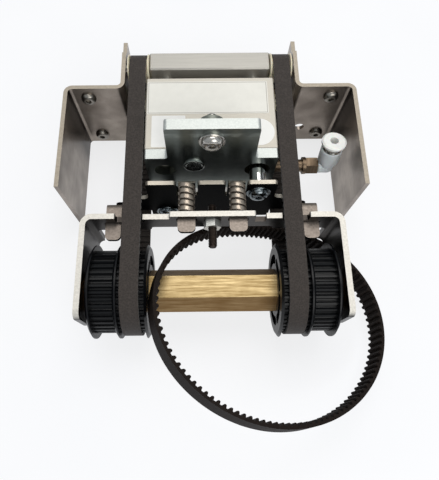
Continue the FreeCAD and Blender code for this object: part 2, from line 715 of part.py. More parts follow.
def piston():
    """Disc with a seal groove, threaded over the rod's spigot."""
    outer, root = PISTON_R - RUNNING, PISTON_R - 2 * SEAL_R - 2 * RUNNING
    bore = PISTON_SPIGOT_R + SEAT_CLEARANCE
    low = PISTON_T / 2 - SEAL_R - RUNNING
    high = PISTON_T / 2 + SEAL_R + RUNNING
    return turned([(0, bore), (0, outer), (low, outer), (low, root), (high, root), (high, outer),
                   (PISTON_T, outer), (PISTON_T, bore)], V(0, PISTON_START, PISTON_Z), V(0, 1, 0))


def piston_seal():
    """Lip ring of square section with a bevelled running edge."""
    outer = PISTON_R - RUNNING
    inner = PISTON_R - 2 * SEAL_R - RUNNING
    bevel = SEAL_R / 2
    flat = SEAL_R - bevel
    return turned([(-SEAL_R, inner), (-SEAL_R, outer - bevel), (-flat, outer), (flat, outer),
                   (SEAL_R, outer - bevel), (SEAL_R, inner)],
                  V(0, PISTON_START + PISTON_T / 2, PISTON_Z), V(0, 1, 0))


def crosshead():
    outer = ARM_FINGER_IN + ARM_FINGER_WIDTH
    right = [(TAB_OUTER, CROSSHEAD_FOOT, 2), (TAB_OUTER, CROSSHEAD_WING_FOOT, 1.5),
             (outer, CROSSHEAD_WING_FOOT, 0), (outer, CROSSHEAD_WING_STEP, 2),
             (BELT_GAUGE / 2, CROSSHEAD_WING_STEP, 2), (BELT_GAUGE / 2, CROSSHEAD_WING_TOP, 2),
             (TAB_OUTER, CROSSHEAD_WING_TOP, 3),
             (TAB_OUTER, CROSSHEAD_TOP, TAB_CORNER_R), (TAB_INNER, CROSSHEAD_TOP, TAB_CORNER_R),
             (TAB_INNER, CROSSHEAD_BODY_TOP, 1), (MID_TAB_HALF, CROSSHEAD_BODY_TOP, 1),
             (MID_TAB_HALF, CROSSHEAD_TOP, TAB_CORNER_R)]
    left = [(-x, z, r) for x, z, r in reversed(right)]
    plate = prism(right + left, "XZ", CROSSHEAD_Y, CROSSHEAD_BACK_Y)
    middle = CROSSHEAD_Y + SHEET / 2
    arm_z = CROSSHEAD_WING_FOOT + SHEET / 2
    finger = [(middle, CROSSHEAD_BODY_TOP - 2), (middle, FINGER_Z), (FINGER_TIP, FINGER_Z)]
    arm_finger = [(middle, CROSSHEAD_WING_STEP - 1), (middle, arm_z), (ARM_FINGER_LEG_Y, arm_z),
                  (ARM_FINGER_LEG_Y, ARM_FINGER_Z), (ARM_FINGER_TIP, ARM_FINGER_Z)]
    for side in (1, -1):
        plate = plate.fuse(guide_finger(side * FINGER_X, FINGER_WIDTH, finger))
        plate = plate.fuse(guide_finger(side * ARM_FINGER_X, ARM_FINGER_WIDTH, arm_finger))
        for edge in (1, -1):
            low, high = sorted((side * FINGER_X + edge * FINGER_NECK_WIDTH / 2,
                                side * FINGER_X + edge * (FINGER_WIDTH / 2 + 1)))
            plate = plate.cut(box(low, high, YOKE_BASE_Y - RUNNING, CROSSHEAD_Y, CROSSHEAD_BODY_TOP,
                                  FRONT_Z + 1))
    for x, z in long_rod_places():
        plate = plate.cut(rod_y(x, z, M5_R + HOLE_CLEARANCE, CROSSHEAD_Y - 1, CROSSHEAD_BACK_Y + 1))
    return plate.removeSplitter()


def guide_finger(x, width, path):
    """Bent strip with a rounded tip, made from the plate's own sheet."""
    strip = bent_strip(path, SHEET, FINGER_BEND, "YZ", x - width / 2, x + width / 2)
    tip = path[-1][0]
    shape = prism([(x - width / 2, tip, FINGER_TIP_R), (x + width / 2, tip, FINGER_TIP_R),
                   (x + width / 2, 0, 0), (x - width / 2, 0, 0)], "XY", BACK_Z, FRONT_Z)
    return strip.common(shape)


def crosshead_screws():
    screws = []
    for x, z in long_rod_places():
        screws.append(button_screw(x, CROSSHEAD_Y, z, CROSSHEAD_SCREW_LENGTH))
    return Part.makeCompound(screws)


def tension_spring(side):
    """Flat-wire compression spring round a finger's neck, between crosshead and yoke."""
    half, depth = SPRING_WIRE_WIDTH / 2, SPRING_WIRE_DEPTH / 2
    start = YOKE_BASE_Y + half + SPRING_END_GAP
    length = CROSSHEAD_Y - half - SPRING_END_GAP - start
    line = Part.makeHelix(length / SPRING_TURNS, length, SPRING_COIL_R)
    corners = [V(SPRING_COIL_R + depth * a, 0, half * b) for a, b in ((-1, -1), (1, -1), (1, 1), (-1, 1))]
    section = Part.makePolygon(corners + corners[:1])
    coil = Part.Wire(line.Edges).makePipeShell([section], True, True)
    coil.rotate(V(0, 0, 0), V(1, 0, 0), -90)
    coil.translate(V(side * FINGER_X, start, FINGER_Z))
    return coil


def idler_pins():
    inner = BAR_WIDTH / 2 - IDLER_PIN_GRIP
    end = BELT_OUT + IDLER_SIDE_GAP + IDLER_FLANGE_T + SEAT_CLEARANCE
    pins = []
    for side, z in idler_places():
        pin = rod_x(IDLER_Y, z, IDLER_PIN_R, inner, end)
        pin = pin.fuse(rod_x(IDLER_Y, z, IDLER_PIN_HEAD_R, end, end + IDLER_PIN_HEAD_T))
        pins.append(pin if side > 0 else mirrored(pin))
    return Part.makeCompound(pins)


def idler_roller(side, z):
    start = BELT_IN - IDLER_SIDE_GAP - IDLER_FLANGE_T
    end = BELT_OUT + IDLER_SIDE_GAP + IDLER_FLANGE_T
    bore = IDLER_PIN_R + RUNNING
    lip = IDLER_FLANGE_R
    width = end - start
    half = [(0, bore), (0, lip - 0.4), (0.4, lip), (IDLER_FLANGE_T - 0.4, lip),
            (IDLER_FLANGE_T, IDLER_TREAD_R)]
    profile = half + [(width - along, r) for along, r in reversed(half)]
    roller = turned(profile, V(start, IDLER_Y, z), V(1, 0, 0))
    return roller if side > 0 else mirrored(roller)


# Toothed belts and pulleys

def tooth_run(first, last, level, inward):
    """Teeth on one straight run: (along, across) points of rounded-off trapezoids."""
    count = int(abs(last - first) // TOOTH_PITCH)
    step = math.copysign(TOOTH_PITCH, last - first)
    half = math.copysign(TOOTH_WIDTH / 2, step)
    points = []
    for k in range(count):
        centre = first + step * (k + 0.5)
        for shift, depth in ((-1.0, 0), (-0.62, 1.0), (0.62, 1.0), (1.0, 0)):
            points.append((centre + half * shift, level + inward * TOOTH_DEPTH * depth))
    return points


def loop_arc(y, z, r, from_angle, to_angle):
    """Edge of a belt wrap round a centre, angles in degrees from +Y towards +Z."""
    def at(angle):
        return V(0, y + r * math.cos(math.radians(angle)), z + r * math.sin(math.radians(angle)))
    return Part.Arc(at(from_angle), at((from_angle + to_angle) / 2), at(to_angle)).toShape()


def belt_loop(out_r, wrap_r, toothed):
    """Closed belt line: front run, two top corners, back run and the wrap under the pulley."""
    front, back = AXIS_Z + out_r, AXIS_Z - out_r
    top = IDLER_Y + wrap_r
    near, far = AXIS_Y + PULLEY_TOOTH_CLEAR, IDLER_Y - IDLER_TOOTH_CLEAR
    high, low = IDLER_Z[0] - IDLER_TOOTH_CLEAR, IDLER_Z[1] + IDLER_TOOTH_CLEAR
    front_teeth = tooth_run(near, far, front, -1) if toothed else []
    top_teeth = [(y, z) for z, y in tooth_run(high, low, top, -1)] if toothed else []
    back_teeth = tooth_run(far, near, back, 1) if toothed else []
    edges = belt_run([(AXIS_Y, front)] + front_teeth + [(IDLER_Y, front)])
    edges.append(loop_arc(IDLER_Y, IDLER_Z[0], wrap_r, 90, 0))
    edges += belt_run([(top, IDLER_Z[0])] + top_teeth + [(top, IDLER_Z[1])])
    edges.append(loop_arc(IDLER_Y, IDLER_Z[1], wrap_r, 0, -90))
    edges += belt_run([(IDLER_Y, back)] + back_teeth + [(AXIS_Y, back)])
    edges.append(loop_arc(AXIS_Y, AXIS_Z, out_r, -90, -270))
    return Part.Wire(edges)


def belt_run(points):
    return Part.makePolygon([V(0, y, z) for y, z in points]).Edges


def transport_belt():
    outer = belt_loop(RUN_OUT, IDLER_WRAP, False)
    inner = belt_loop(RUN_IN, IDLER_WRAP - BELT_BACK, True)
    belt = Part.Face(outer).cut(Part.Face(inner)).Faces[0].extrude(V(BELT_WIDTH, 0, 0))
    belt.translate(V(BELT_IN, 0, 0))
    return belt


def toothed_drum(x0, x1):
    """Timing-belt drum with rounded grooves round the shaft axis."""
    pitch_angle = 2 * math.pi / PULLEY_TEETH
    groove = (TOOTH_WIDTH + 0.3) / 2 / PULLEY_R
    depth = TOOTH_DEPTH + 0.1
    points = []
    for k in range(PULLEY_TEETH):
        centre = k * pitch_angle
        for shift, drop in ((-1.0, 0), (-0.72, 0.75), (-0.3, 1.0), (0.3, 1.0), (0.72, 0.75), (1.0, 0)):
            angle = centre + groove * shift
            r = PULLEY_R - depth * drop
            points.append(V(x0, AXIS_Y + r * math.cos(angle), AXIS_Z + r * math.sin(angle)))
    return Part.Face(Part.makePolygon(points + points[:1])).extrude(V(x1 - x0, 0, 0))


def flange_disc(x0, x1, taper):
    """Pulley flange whose rim is bevelled on the belt side, taper +1 towards +X or -1 towards -X."""
    rim = PULLEY_FLANGE_R
    bevel = PULLEY_FLANGE_T * 0.6
    near, far = (0, bevel) if taper < 0 else (bevel, 0)
    width = x1 - x0
    profile = [(0, 0), (0, rim - 1.5 * near), (near, rim), (width - far, rim),
               (width, rim - 1.5 * far), (width, 0)]
    return turned(profile, V(x0, AXIS_Y, AXIS_Z), V(1, 0, 0))


def hex_bore(x0, x1):
    return hexagon(HEX_AF + 2 * SEAT_CLEARANCE, "YZ", AXIS_Y, AXIS_Z, x0 - 1, x1 + 1)


def pocket(angle):
    """Kidney-shaped weight-saving pocket in the pulley's inner face."""
    middle = (POCKET_OUTER_R + POCKET_INNER_R) / 2
    half = (POCKET_OUTER_R - POCKET_INNER_R) / 2
    ring = rod_x(AXIS_Y, AXIS_Z, POCKET_OUTER_R, PULLEY_FACE - 1, PULLEY_FACE + POCKET_DEPTH)
    ring = ring.cut(rod_x(AXIS_Y, AXIS_Z, POCKET_INNER_R, PULLEY_FACE - 2, PULLEY_FACE + POCKET_DEPTH + 1))
    spread = math.radians(POCKET_ANGLE / 2)
    reach = 2 * PULLEY_FLANGE_R * math.cos(spread)
    rise = 2 * PULLEY_FLANGE_R * math.sin(spread)
    far = AXIS_Y + reach
    wedge = prism([(AXIS_Y, AXIS_Z, 0), (far, AXIS_Z - rise, 0), (far, AXIS_Z + rise, 0)], "YZ",
                  PULLEY_FACE - 1, PULLEY_FACE + POCKET_DEPTH)
    kidney = ring.common(wedge)
    for side in (1, -1):
        y = AXIS_Y + middle * math.cos(spread)
        z = AXIS_Z + side * middle * math.sin(spread)
        kidney = kidney.fuse(rod_x(y, z, half, PULLEY_FACE - 1, PULLEY_FACE + POCKET_DEPTH))
    kidney.rotate(V(0, AXIS_Y, AXIS_Z), V(1, 0, 0), angle)
    return kidney


def transport_pulley():
    inner_end = PULLEY_FACE + PULLEY_RIM_T
    outer_start = PULLEY_MID - PULLEY_FLANGE_T
    body = toothed_drum(inner_end, outer_start)
    body = body.fuse(flange_disc(PULLEY_FACE, inner_end, 1)).fuse(flange_disc(outer_start, PULLEY_MID, -1))
    for k in range(POCKETS):
        body = body.cut(pocket(360 * k / POCKETS))
    return body.cut(hex_bore(PULLEY_FACE, PULLEY_MID)).removeSplitter()


def input_pulley():
    flange_start = PULLEY_END - PULLEY_FLANGE_T
    body = toothed_drum(PULLEY_MID, flange_start).fuse(flange_disc(flange_start, PULLEY_END, -1))
    return body.cut(hex_bore(PULLEY_MID, PULLEY_END)).removeSplitter()


def drive_shaft():
    end = ARM_OUT + JOURNAL_OVERHANG
    shaft = hexagon(HEX_AF, "YZ", AXIS_Y, AXIS_Z, -PULLEY_END, PULLEY_END)
    shaft = shaft.fuse(rod_x(AXIS_Y, AXIS_Z, JOURNAL_R, -end, end))
    for side in (1, -1):
        start = ARM_OUT + SEAT_CLEARANCE
        low, high = sorted((side * start, side * (start + CLIP_T + RUNNING)))
        groove = rod_x(AXIS_Y, AXIS_Z, JOURNAL_R + 1, low, high)
        shaft = shaft.cut(groove.cut(rod_x(AXIS_Y, AXIS_Z, CLIP_GROOVE_R, low - 1, high + 1)))
    return shaft.removeSplitter()


def shaft_clips():
    start = ARM_OUT + SEAT_CLEARANCE + RUNNING / 2
    clip = rod_x(AXIS_Y, AXIS_Z, CLIP_R, start, start + CLIP_T)
    clip = clip.cut(rod_x(AXIS_Y, AXIS_Z, CLIP_GROOVE_R + RUNNING / 2, start - 1, start + CLIP_T + 1))
    mouth = box(start - 1, start + CLIP_T + 1, AXIS_Y - CLIP_R - 1, AXIS_Y, AXIS_Z - CLIP_GROOVE_R * 0.7,
                AXIS_Z + CLIP_GROOVE_R * 0.7)
    return both_sides(clip.cut(mouth))


# Yoke

def yoke():
    """U-shaped bent sheet: two arms with bearing holes and a base cut to pass belts and fingers."""
    arm = ARM_IN + YOKE_SHEET / 2
    base = YOKE_BASE_Y - YOKE_SHEET / 2
    end = AXIS_Y - YOKE_ARM_END
    body = bent_strip([(-arm, end), (-arm, base), (arm, base), (arm, end)], YOKE_SHEET, YOKE_BEND, "XY",
                      YOKE_ARM_BACK_Z, YOKE_CENTRE_Z)
    far = YOKE_BASE_Y + 1
    window = ARM_IN - YOKE_BEND
    front = yoke_front()
    back = [(ARM_OUT + 1, YOKE_ARM_BACK_Z, 0), (window, YOKE_ARM_BACK_Z, 0), (window, YOKE_BASE_BACK_Z, 2),
            (YOKE_ARCH_HALF, YOKE_BASE_BACK_Z, 1.5), (YOKE_ARCH_HALF, YOKE_ARCH_Z, 1.5)]
    right = front + back
    keep = prism(right + [(-x, z, r) for x, z, r in reversed(right)], "XZ", end - 1, far)
    step = YOKE_BASE_Y - 2 * YOKE_SHEET
    arms = prism([(end, YOKE_ARM_BACK_Z, YOKE_TIP_R), (far, YOKE_ARM_BACK_Z, 0), (far, YOKE_CENTRE_Z, 0),
                  (step, YOKE_CENTRE_Z, 0), (step, YOKE_FRONT_Z, 0), (end, YOKE_FRONT_Z, YOKE_CORNER_R)],
                 "YZ", -ARM_OUT - 1, ARM_OUT + 1)
    body = body.common(keep).common(arms)
    for side in (1, -1):
        body = body.cut(finger_slot(side * FINGER_X, FINGER_WIDTH, FINGER_Z))
        body = body.cut(finger_slot(side * ARM_FINGER_X, ARM_FINGER_WIDTH, ARM_FINGER_Z))
    body = body.cut(box(YOKE_CENTRE_HALF, YOKE_CENTRE_HALF + SIDE_NOTCH_WIDTH, base - YOKE_SHEET, far,
                        SIDE_NOTCH_FLOOR, YOKE_CENTRE_Z))
    body = body.cut(rod_y(0, STOP_SCREW_Z, M4_R + SEAT_CLEARANCE, base - YOKE_SHEET, far))
    return body.cut(rod_x(AXIS_Y, AXIS_Z, SHAFT_BUSH_R + SEAT_CLEARANCE, -ARM_OUT - 1, ARM_OUT + 1))


def yoke_front():
    """Front edge of the yoke's right half: raised centre, shoulder, belt notch and arm."""
    return [(YOKE_CENTRE_HALF, YOKE_CENTRE_Z, 0.8), (YOKE_CENTRE_HALF, YOKE_SHOULDER_Z, 0),
            (BELT_NOTCH_IN, YOKE_SHOULDER_Z, 0.5), (BELT_NOTCH_IN, BELT_NOTCH_FLOOR, 0.8),
            (BELT_NOTCH_OUT, BELT_NOTCH_FLOOR, 0.8), (BELT_NOTCH_OUT, YOKE_FRONT_Z, 0.5),
            (ARM_OUT + 1, YOKE_FRONT_Z, 0)]


def finger_slot(x, width, z):
    half = width / 2 + SLOT_CLEARANCE
    rise = SHEET / 2 + SLOT_CLEARANCE
    return box(x - half, x + half, YOKE_BASE_Y - 2 * YOKE_SHEET, YOKE_BASE_Y + 1, z - rise, z + rise)


def stop_screw():
    length, r = STOP_SCREW_END - STOP_SCREW_TIP, M4_R
    return turned([(0, 0), (0, r - 0.5), (0.5, r), (length - 0.5, r), (length, r - 0.5), (length, 0)],
                  V(0, STOP_SCREW_TIP, STOP_SCREW_Z), V(0, 1, 0))


def stop_nut():
    y = YOKE_BASE_Y - YOKE_SHEET - M4_NUT_T
    nut = hexagon(M4_NUT_AF, "XZ", 0, STOP_SCREW_Z, y, y + M4_NUT_T, STOP_NUT_TURN)
    return nut.cut(rod_y(0, STOP_SCREW_Z, M4_R + SEAT_CLEARANCE, y - 1, y + M4_NUT_T + 1))


def shaft_bushes():
    lip = ARM_IN - SHAFT_BUSH_FLANGE_T
    bush = rod_x(AXIS_Y, AXIS_Z, SHAFT_BUSH_R, ARM_IN, ARM_OUT)
    bush = bush.fuse(rod_x(AXIS_Y, AXIS_Z, SHAFT_BUSH_FLANGE_R, lip, ARM_IN))
    bush = bush.cut(rod_x(AXIS_Y, AXIS_Z, JOURNAL_R + RUNNING, lip - 1, ARM_OUT + 1))
    return both_sides(bush)


# Loose belt

def loose_belt():
    """Closed egg-shaped belt with teeth inside, leaning over the shaft and down to the back plane."""
    def at(angle, inset):
        r = LOOSE_R * (1 + LOOSE_OVAL * math.cos(2 * angle) + LOOSE_EGG * math.sin(3 * angle)) - inset
        return V(r * math.cos(angle), r * math.sin(angle), 0)
    rim = Part.BSplineCurve()
    rim_points = [at(2 * math.pi * k / LOOSE_RIM_POINTS, 0) for k in range(LOOSE_RIM_POINTS)]
    rim.interpolate(rim_points, PeriodicFlag=True)
    outer = Part.Wire(rim.toShape())
    pitch_angle = 2 * math.pi / LOOSE_TEETH
    points = []
    for k in range(LOOSE_TEETH):
        for shift, depth in ((0.0, 0), (0.36, 0), (0.5, 0.85), (0.68, 1.0), (0.86, 0.85)):
            points.append(at((k + shift) * pitch_angle, LOOSE_BACK + LOOSE_TOOTH_DEPTH * depth))
    inner = Part.makePolygon(points + points[:1])
    belt = Part.Face(outer).cut(Part.Face(inner)).Faces[0].extrude(V(0, 0, LOOSE_WIDTH))
    belt.translate(V(0, 0, -LOOSE_WIDTH / 2))
    lean_x, lean_y = math.sin(math.radians(LOOSE_LEAN_X)), math.sin(math.radians(LOOSE_LEAN_Y))
    normal = V(lean_x, lean_y, math.sqrt(1 - lean_x ** 2 - lean_y ** 2))
    across = V(0, 1, 0).cross(normal)
    across.normalize()
    along = normal.cross(across)
    frame = FreeCAD.Rotation(across, along, normal, "ZXY")
    centre = V(LOOSE_X, LOOSE_Y, LOOSE_Z)
    belt.Placement = FreeCAD.Placement(centre, frame).multiply(belt.Placement)
    return belt


def build():
    bracket = side_bracket()
    belt = transport_belt()
    transport = transport_pulley()
    drive = input_pulley()
    nodes = {
        "right_bracket": bracket.cut(spare_hole()),
        "left_bracket": mirrored(bracket),
        "flange_screws": flange_screws(),
        "block_screws": block_screws(),
        "cylinder_block": cylinder_block(),
        "rod_bushes": rod_bushes(),
        "mounting_plate": mounting_plate(),
        "plate_screws": plate_screws(),
        "plate_plug": plate_plug(),
        "tongue_screw": tongue_screw(),
        "slot_nut": slot_nut(),
        "port_extension": port_extension(),
        "fitting_stud": fitting_stud(),
        "fitting_elbow": fitting_elbow(),
        "fitting_ring": fitting_ring(),
        "release_collar": release_collar(),
        "top_bar": top_bar(),
        "bar_screws": bar_screws(),
        "guide_rod_right": guide_rod_right(),
        "guide_rod_left": guide_rod_left(),
        "guide_rod_rear": guide_rod_rear(),
        "piston_rod": piston_rod(),
        "piston": piston(),
        "piston_seal": piston_seal(),
        "crosshead": crosshead(),
        "crosshead_screws": crosshead_screws(),
        "left_spring": tension_spring(-1),
        "right_spring": tension_spring(1),
        "idler_pins": idler_pins(),
        "right_belt": belt,
        "left_belt": mirrored(belt),
        "yoke": yoke(),
        "stop_screw": stop_screw(),
        "stop_nut": stop_nut(),
        "shaft_bushes": shaft_bushes(),
        "drive_shaft": drive_shaft(),
        "shaft_clips": shaft_clips(),
        "right_transport_pulley": transport,
        "left_transport_pulley": mirrored(transport),
        "right_input_pulley": drive,
        "left_input_pulley": mirrored(drive),
        "loose_belt": loose_belt(),
    }
    for side, z in idler_places():
        name = ("right" if side > 0 else "left") + ("_front" if z == IDLER_Z[0] else "_rear") + "_idler"
        nodes[name] = idler_roller(side, z)
    return nodes


def main():
    os.makedirs("parts", exist_ok=True)
    for name, shape in build().items():
        shape.exportStep("parts/" + name + ".step")
        print(name, len(shape.Solids), shape.isValid(), round(shape.Volume, 1))


main()
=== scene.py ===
import json
import math

import bmesh
import bpy
from bpy.props import FloatProperty, FloatVectorProperty, IntProperty, PointerProperty
from bpy.types import Operator, Panel, PropertyGroup
from mathutils import Matrix, Vector


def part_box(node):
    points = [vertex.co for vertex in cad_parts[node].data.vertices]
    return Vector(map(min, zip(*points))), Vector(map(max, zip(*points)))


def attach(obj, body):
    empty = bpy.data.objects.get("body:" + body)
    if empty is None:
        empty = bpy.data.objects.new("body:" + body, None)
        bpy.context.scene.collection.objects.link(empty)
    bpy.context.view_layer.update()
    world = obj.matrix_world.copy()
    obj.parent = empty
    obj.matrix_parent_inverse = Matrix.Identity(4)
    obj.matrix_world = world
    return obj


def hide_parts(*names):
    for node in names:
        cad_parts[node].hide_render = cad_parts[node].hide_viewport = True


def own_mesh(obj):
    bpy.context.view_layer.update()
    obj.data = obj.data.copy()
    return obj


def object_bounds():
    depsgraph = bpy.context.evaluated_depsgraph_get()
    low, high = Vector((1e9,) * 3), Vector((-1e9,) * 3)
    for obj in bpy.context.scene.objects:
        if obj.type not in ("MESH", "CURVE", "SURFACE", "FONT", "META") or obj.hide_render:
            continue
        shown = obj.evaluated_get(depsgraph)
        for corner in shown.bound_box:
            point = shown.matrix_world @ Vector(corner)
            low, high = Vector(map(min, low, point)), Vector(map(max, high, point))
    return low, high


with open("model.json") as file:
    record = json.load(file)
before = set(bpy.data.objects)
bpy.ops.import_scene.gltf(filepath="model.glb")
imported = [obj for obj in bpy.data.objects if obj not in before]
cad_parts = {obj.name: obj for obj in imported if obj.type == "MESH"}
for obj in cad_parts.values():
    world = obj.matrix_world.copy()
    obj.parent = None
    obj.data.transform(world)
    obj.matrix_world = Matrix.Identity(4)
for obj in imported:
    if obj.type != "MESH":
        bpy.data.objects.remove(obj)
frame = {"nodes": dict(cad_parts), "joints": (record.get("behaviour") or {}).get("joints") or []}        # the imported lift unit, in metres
CAD_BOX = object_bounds()
NODES = frame["nodes"]
JOINTS = {joint["name"]: joint for joint in frame["joints"]}

bl_info = {
    "name": "Lift and Cross Travel Unit",
    "version": (1, 0, 0),
    "blender": (4, 5, 0),
    "location": "View3D > Sidebar > Lift Unit",
    "description": "Finishes and small parts of a pneumatic lift unit for a pallet conveyor",
    "category": "Object",
}

MM = 0.001
SHARP_ANGLE = math.radians(32)
SCREW_STEPS = 36
STOP_SCREW_STEPS = 24

# Button heads in millimetres: shank radius, flange radius and its rim, dome radius and its rise, socket
# across flats and its depth
FLANGED_HEAD = {"radius": 2.5, "flange": 5.8, "rim": 1.1, "dome": 4.75, "rise": 2.6, "socket": 3.0,
                "sink": 1.8}
PLAIN_HEAD = {"radius": 2.0, "flange": 3.8, "rim": 0.0, "dome": 3.8, "rise": 2.2, "socket": 2.5, "sink": 1.3}

# Pressed-in plug: rise of its rim in millimetres, and its rings from the dish over the rim to the wall, each
# with its share of the rise, measured from the front, and its share of the radius
PLUG_RISE = 0.8
PLUG_RINGS = ((0.5, 0.3), (0.45, 0.72), (0.12, 0.8), (0.0, 0.86), (0.08, 0.92), (0.35, 0.98), (0.8, 1.0))

# Elbow in millimetres from its swivel centre: end, radius and shoulder of the tube socket, depth and radius
# of the pocket for the collar's stem, knee radius, start and radius of the barrel, radius and depth of the
# seat for the stud's spigot, and the rounding of its edges
ELBOW = {"reach": 13.0, "socket": 5.3, "shoulder": 5.0, "pocket": 9.8, "stem": 3.55, "knee": 3.8,
         "start": 4.8, "barrel": 3.75, "spigot": 2.75, "sink": 5.7, "soft": 0.4}

# Label films in millimetres from the block's sides: frame line of the main label with the film's margin
# round it, side label, round label
MAIN_LABEL = {"left": 1.2, "right": 3.8, "top": 2.9, "bottom": 20.1, "line": 0.16, "margin": 0.6,
              "corner": 0.8}
SIDE_LABEL = {"left": 3.0, "right": 19.0, "low": 1.0, "high": 17.9, "corner": 0.6}
ROUND_LABEL = {"right": 8.3, "low": 8.7, "radius": 7.2}
ROUND_LABEL_STEPS = 48

# Stage in metres: each lamp's side, place and radiance setting, and the point that the lamps face
LAMPS = {"ceiling_lamp": (0.6, (0.08, 0.28, 0.9), "key"), "near_lamp": (0.5, (0.25, -0.55, 0.5), "fill")}
LAMP_AIM = (0, -0.05, 0)
LAMP_TINT = (1.0, 0.97, 0.93)
SKY_TINT = (0.9, 0.955, 1.0, 1.0)
TABLE_HALF = 3.0
BLACK = (0.0, 0.0, 0.0, 1.0)
WHITE = (1.0, 1.0, 1.0, 1.0)


def linear(hex_colour):
    """Linear RGBA of an sRGB hex value."""
    channels = [int(hex_colour[i:i + 2], 16) / 255 for i in (1, 3, 5)]
    bent = [c / 12.92 if c <= 0.04045 else ((c + 0.055) / 1.055) ** 2.4 for c in channels]
    return (*bent, 1.0)


def toned(base, factor):
    """A linear colour made darker or lighter by a factor."""
    return (*(c * factor for c in base[:3]), 1.0)


def colour(name, description, hex_colour):
    return FloatVectorProperty(name=name, description=description, subtype="COLOR", size=4, min=0.0, max=1.0,
                               default=linear(hex_colour))


def length(name, description, millimetres):
    return FloatProperty(name=name, description=description, unit="LENGTH", min=0.0, precision=5,
                         default=millimetres * MM)


def angle(name, description, degrees):
    return FloatProperty(name=name, description=description, subtype="ANGLE", default=math.radians(degrees))


def level(name, description, value):
    return FloatProperty(name=name, description=description, min=0.0, default=value)


class LiftUnitColours(PropertyGroup):
    """Colours of the finishes."""
    sheet: colour("Sheet", "Face of the bracket sheet", "#B0A69C")
    sheet_shade: colour("Sheet Shade", "Handled, cloudy places of the bracket sheet", "#766D65")
    sheet_edge: colour("Sheet Edge", "Sheared edges of the brackets", "#C1B7A8")
    yoke: colour("Yoke", "Face of the yoke sheet", "#3E3A37")
    # The yoke's near white edge colour is partly its bare sheared edge and partly a painted highlight.
    yoke_edge_and_highlight: colour("Yoke Edge", "Bright sheared edges of the yoke", "#F0ECE4")
    tab_edge: colour("Tab Edge", "Bare cut edges of the crosshead's tabs", "#BDB6AA")
    # The near black crosshead colour is painted shade: the crosshead's faces are bare steel like its edges.
    crosshead: colour("Crosshead", "Dark face of the crosshead", "#030303")
    finger: colour("Finger", "Guide fingers of the crosshead", "#9A9088")
    zinc: colour("Zinc", "Zinc plate", "#929994")
    block: colour("Block", "Bead-blasted cylinder block", "#D1CBBF")
    bar: colour("Bar", "Milled top bar", "#B5B2AB")
    brass: colour("Brass", "Hexagon shaft", "#CBB589")
    belt: colour("Belt", "Fabric facing of the transport belts", "#35302D")
    ring: colour("Ring", "Loose toothed belt", "#1B1512")
    pulley: colour("Pulley", "Black moulded pulleys", "#060709")
    idler: colour("Idler", "Cream idler rollers", "#E3D8BC")
    fitting: colour("Fitting", "Grey body of the air fitting", "#EBF1F2")
    label: colour("Label", "Bare label film", "#E4E2DA")


class LiftUnitSizes(PropertyGroup):
    """Sizes of the parts that are made here."""
    spring_turns: level("Spring Turns", "Turns of a tension spring", 4.5)
    spring_radius: length("Spring Radius", "Middle radius of the coil", 3.45)
    wire_width: length("Wire Width", "Flat wire, measured along the spring", 2.1)
    wire_depth: length("Wire Depth", "Flat wire, measured outwards", 0.7)
    wire_edge: length("Wire Edge", "Rounding of the flat wire's edges", 0.25)
    thread_pitch: length("Thread Pitch", "Pitch of the M5 screws", 0.8)
    small_pitch: length("Small Thread Pitch", "Pitch of the M4 screws", 0.7)
    label_depth: length("Label Depth", "Thickness of the label film", 0.12)
    weave: length("Weave", "Thread spacing of the belt facing, coarser than real so that it shows", 0.7)
    round_steps: IntProperty(name="Round Steps", description="Faces round a turned part", default=40, min=12)


class LiftUnitStage(PropertyGroup):
    """Floor, light and camera."""
    key: level("Key", "Radiance of the overhead light", 3.9)
    fill: level("Fill", "Radiance of the light from the near side", 2.4)
    sky: level("Sky", "Strength of the surrounding light", 0.55)
    seen_white: level("Seen White", "Share of plain white in the table that the camera sees", 0.76)
    mirrored_white: level("Mirrored White", "Share of plain white in the table that metal mirrors", 0.5)
    focal: level("Focal Length", "Focal length of the camera in millimetres", 33.98)
    shift: FloatProperty(name="Shift", description="Sideways shift of the picture", default=0.033)
    eye: FloatVectorProperty(name="Eye", description="Place of the camera", subtype="TRANSLATION",
                             unit="LENGTH", precision=4, default=(-0.0047, -0.1433, 0.2096))
    tilt: angle("Tilt", "Turn of the camera from straight down towards the far side", 18.705)
    swing: angle("Swing", "Turn of the camera about the upright", -0.628)


def colours():
    return bpy.context.scene.lift_unit_colours


def sizes():
    return bpy.context.scene.lift_unit_sizes


# Node trees and patterns

def add(tree, kind, inputs=None, **settings):
    """Adds one node: settings are its options, inputs are values or sockets to link, by name or index."""
    node = tree.nodes.new(kind)
    for name, value in settings.items():
        setattr(node, name, value)
    for key, value in (inputs or {}).items():
        if isinstance(value, bpy.types.NodeSocket):
            tree.links.new(value, node.inputs[key])
        else:
            node.inputs[key].default_value = value
    return node


def finish(name, **uniform):
    """A new material, its tree, its shader and its texture coordinates. Uniform values go on the shader."""
    material = bpy.data.materials.new(name)
    material.use_nodes = True
    tree = material.node_tree
    shader = tree.nodes["Principled BSDF"]
    for socket, value in uniform.items():
        shader.inputs[socket.replace("_", " ")].default_value = value
    place = add(tree, "ShaderNodeTexCoord").outputs
    return material, tree, shader, place


def per(millimetres):
    """Texture scale at which one feature measures that many millimetres. Grain, pores and die lines are finer
    on the real unit and are drawn as coarse as they need to show."""
    return 1.0 / (millimetres * MM)


def marks(tree, place, width, stretch=(1.0, 1.0, 1.0), detail=3.0, roughness=0.5):
    """Grain, or drawn and brushed lines where stretch pulls it out along an axis. Width in millimetres."""
    pulled = add(tree, "ShaderNodeMapping", {"Vector": place["Object"], "Scale": stretch})
    return add(tree, "ShaderNodeTexNoise", {"Vector": pulled.outputs[0], "Scale": per(width),
                                            "Detail": detail, "Roughness": roughness}).outputs["Fac"]


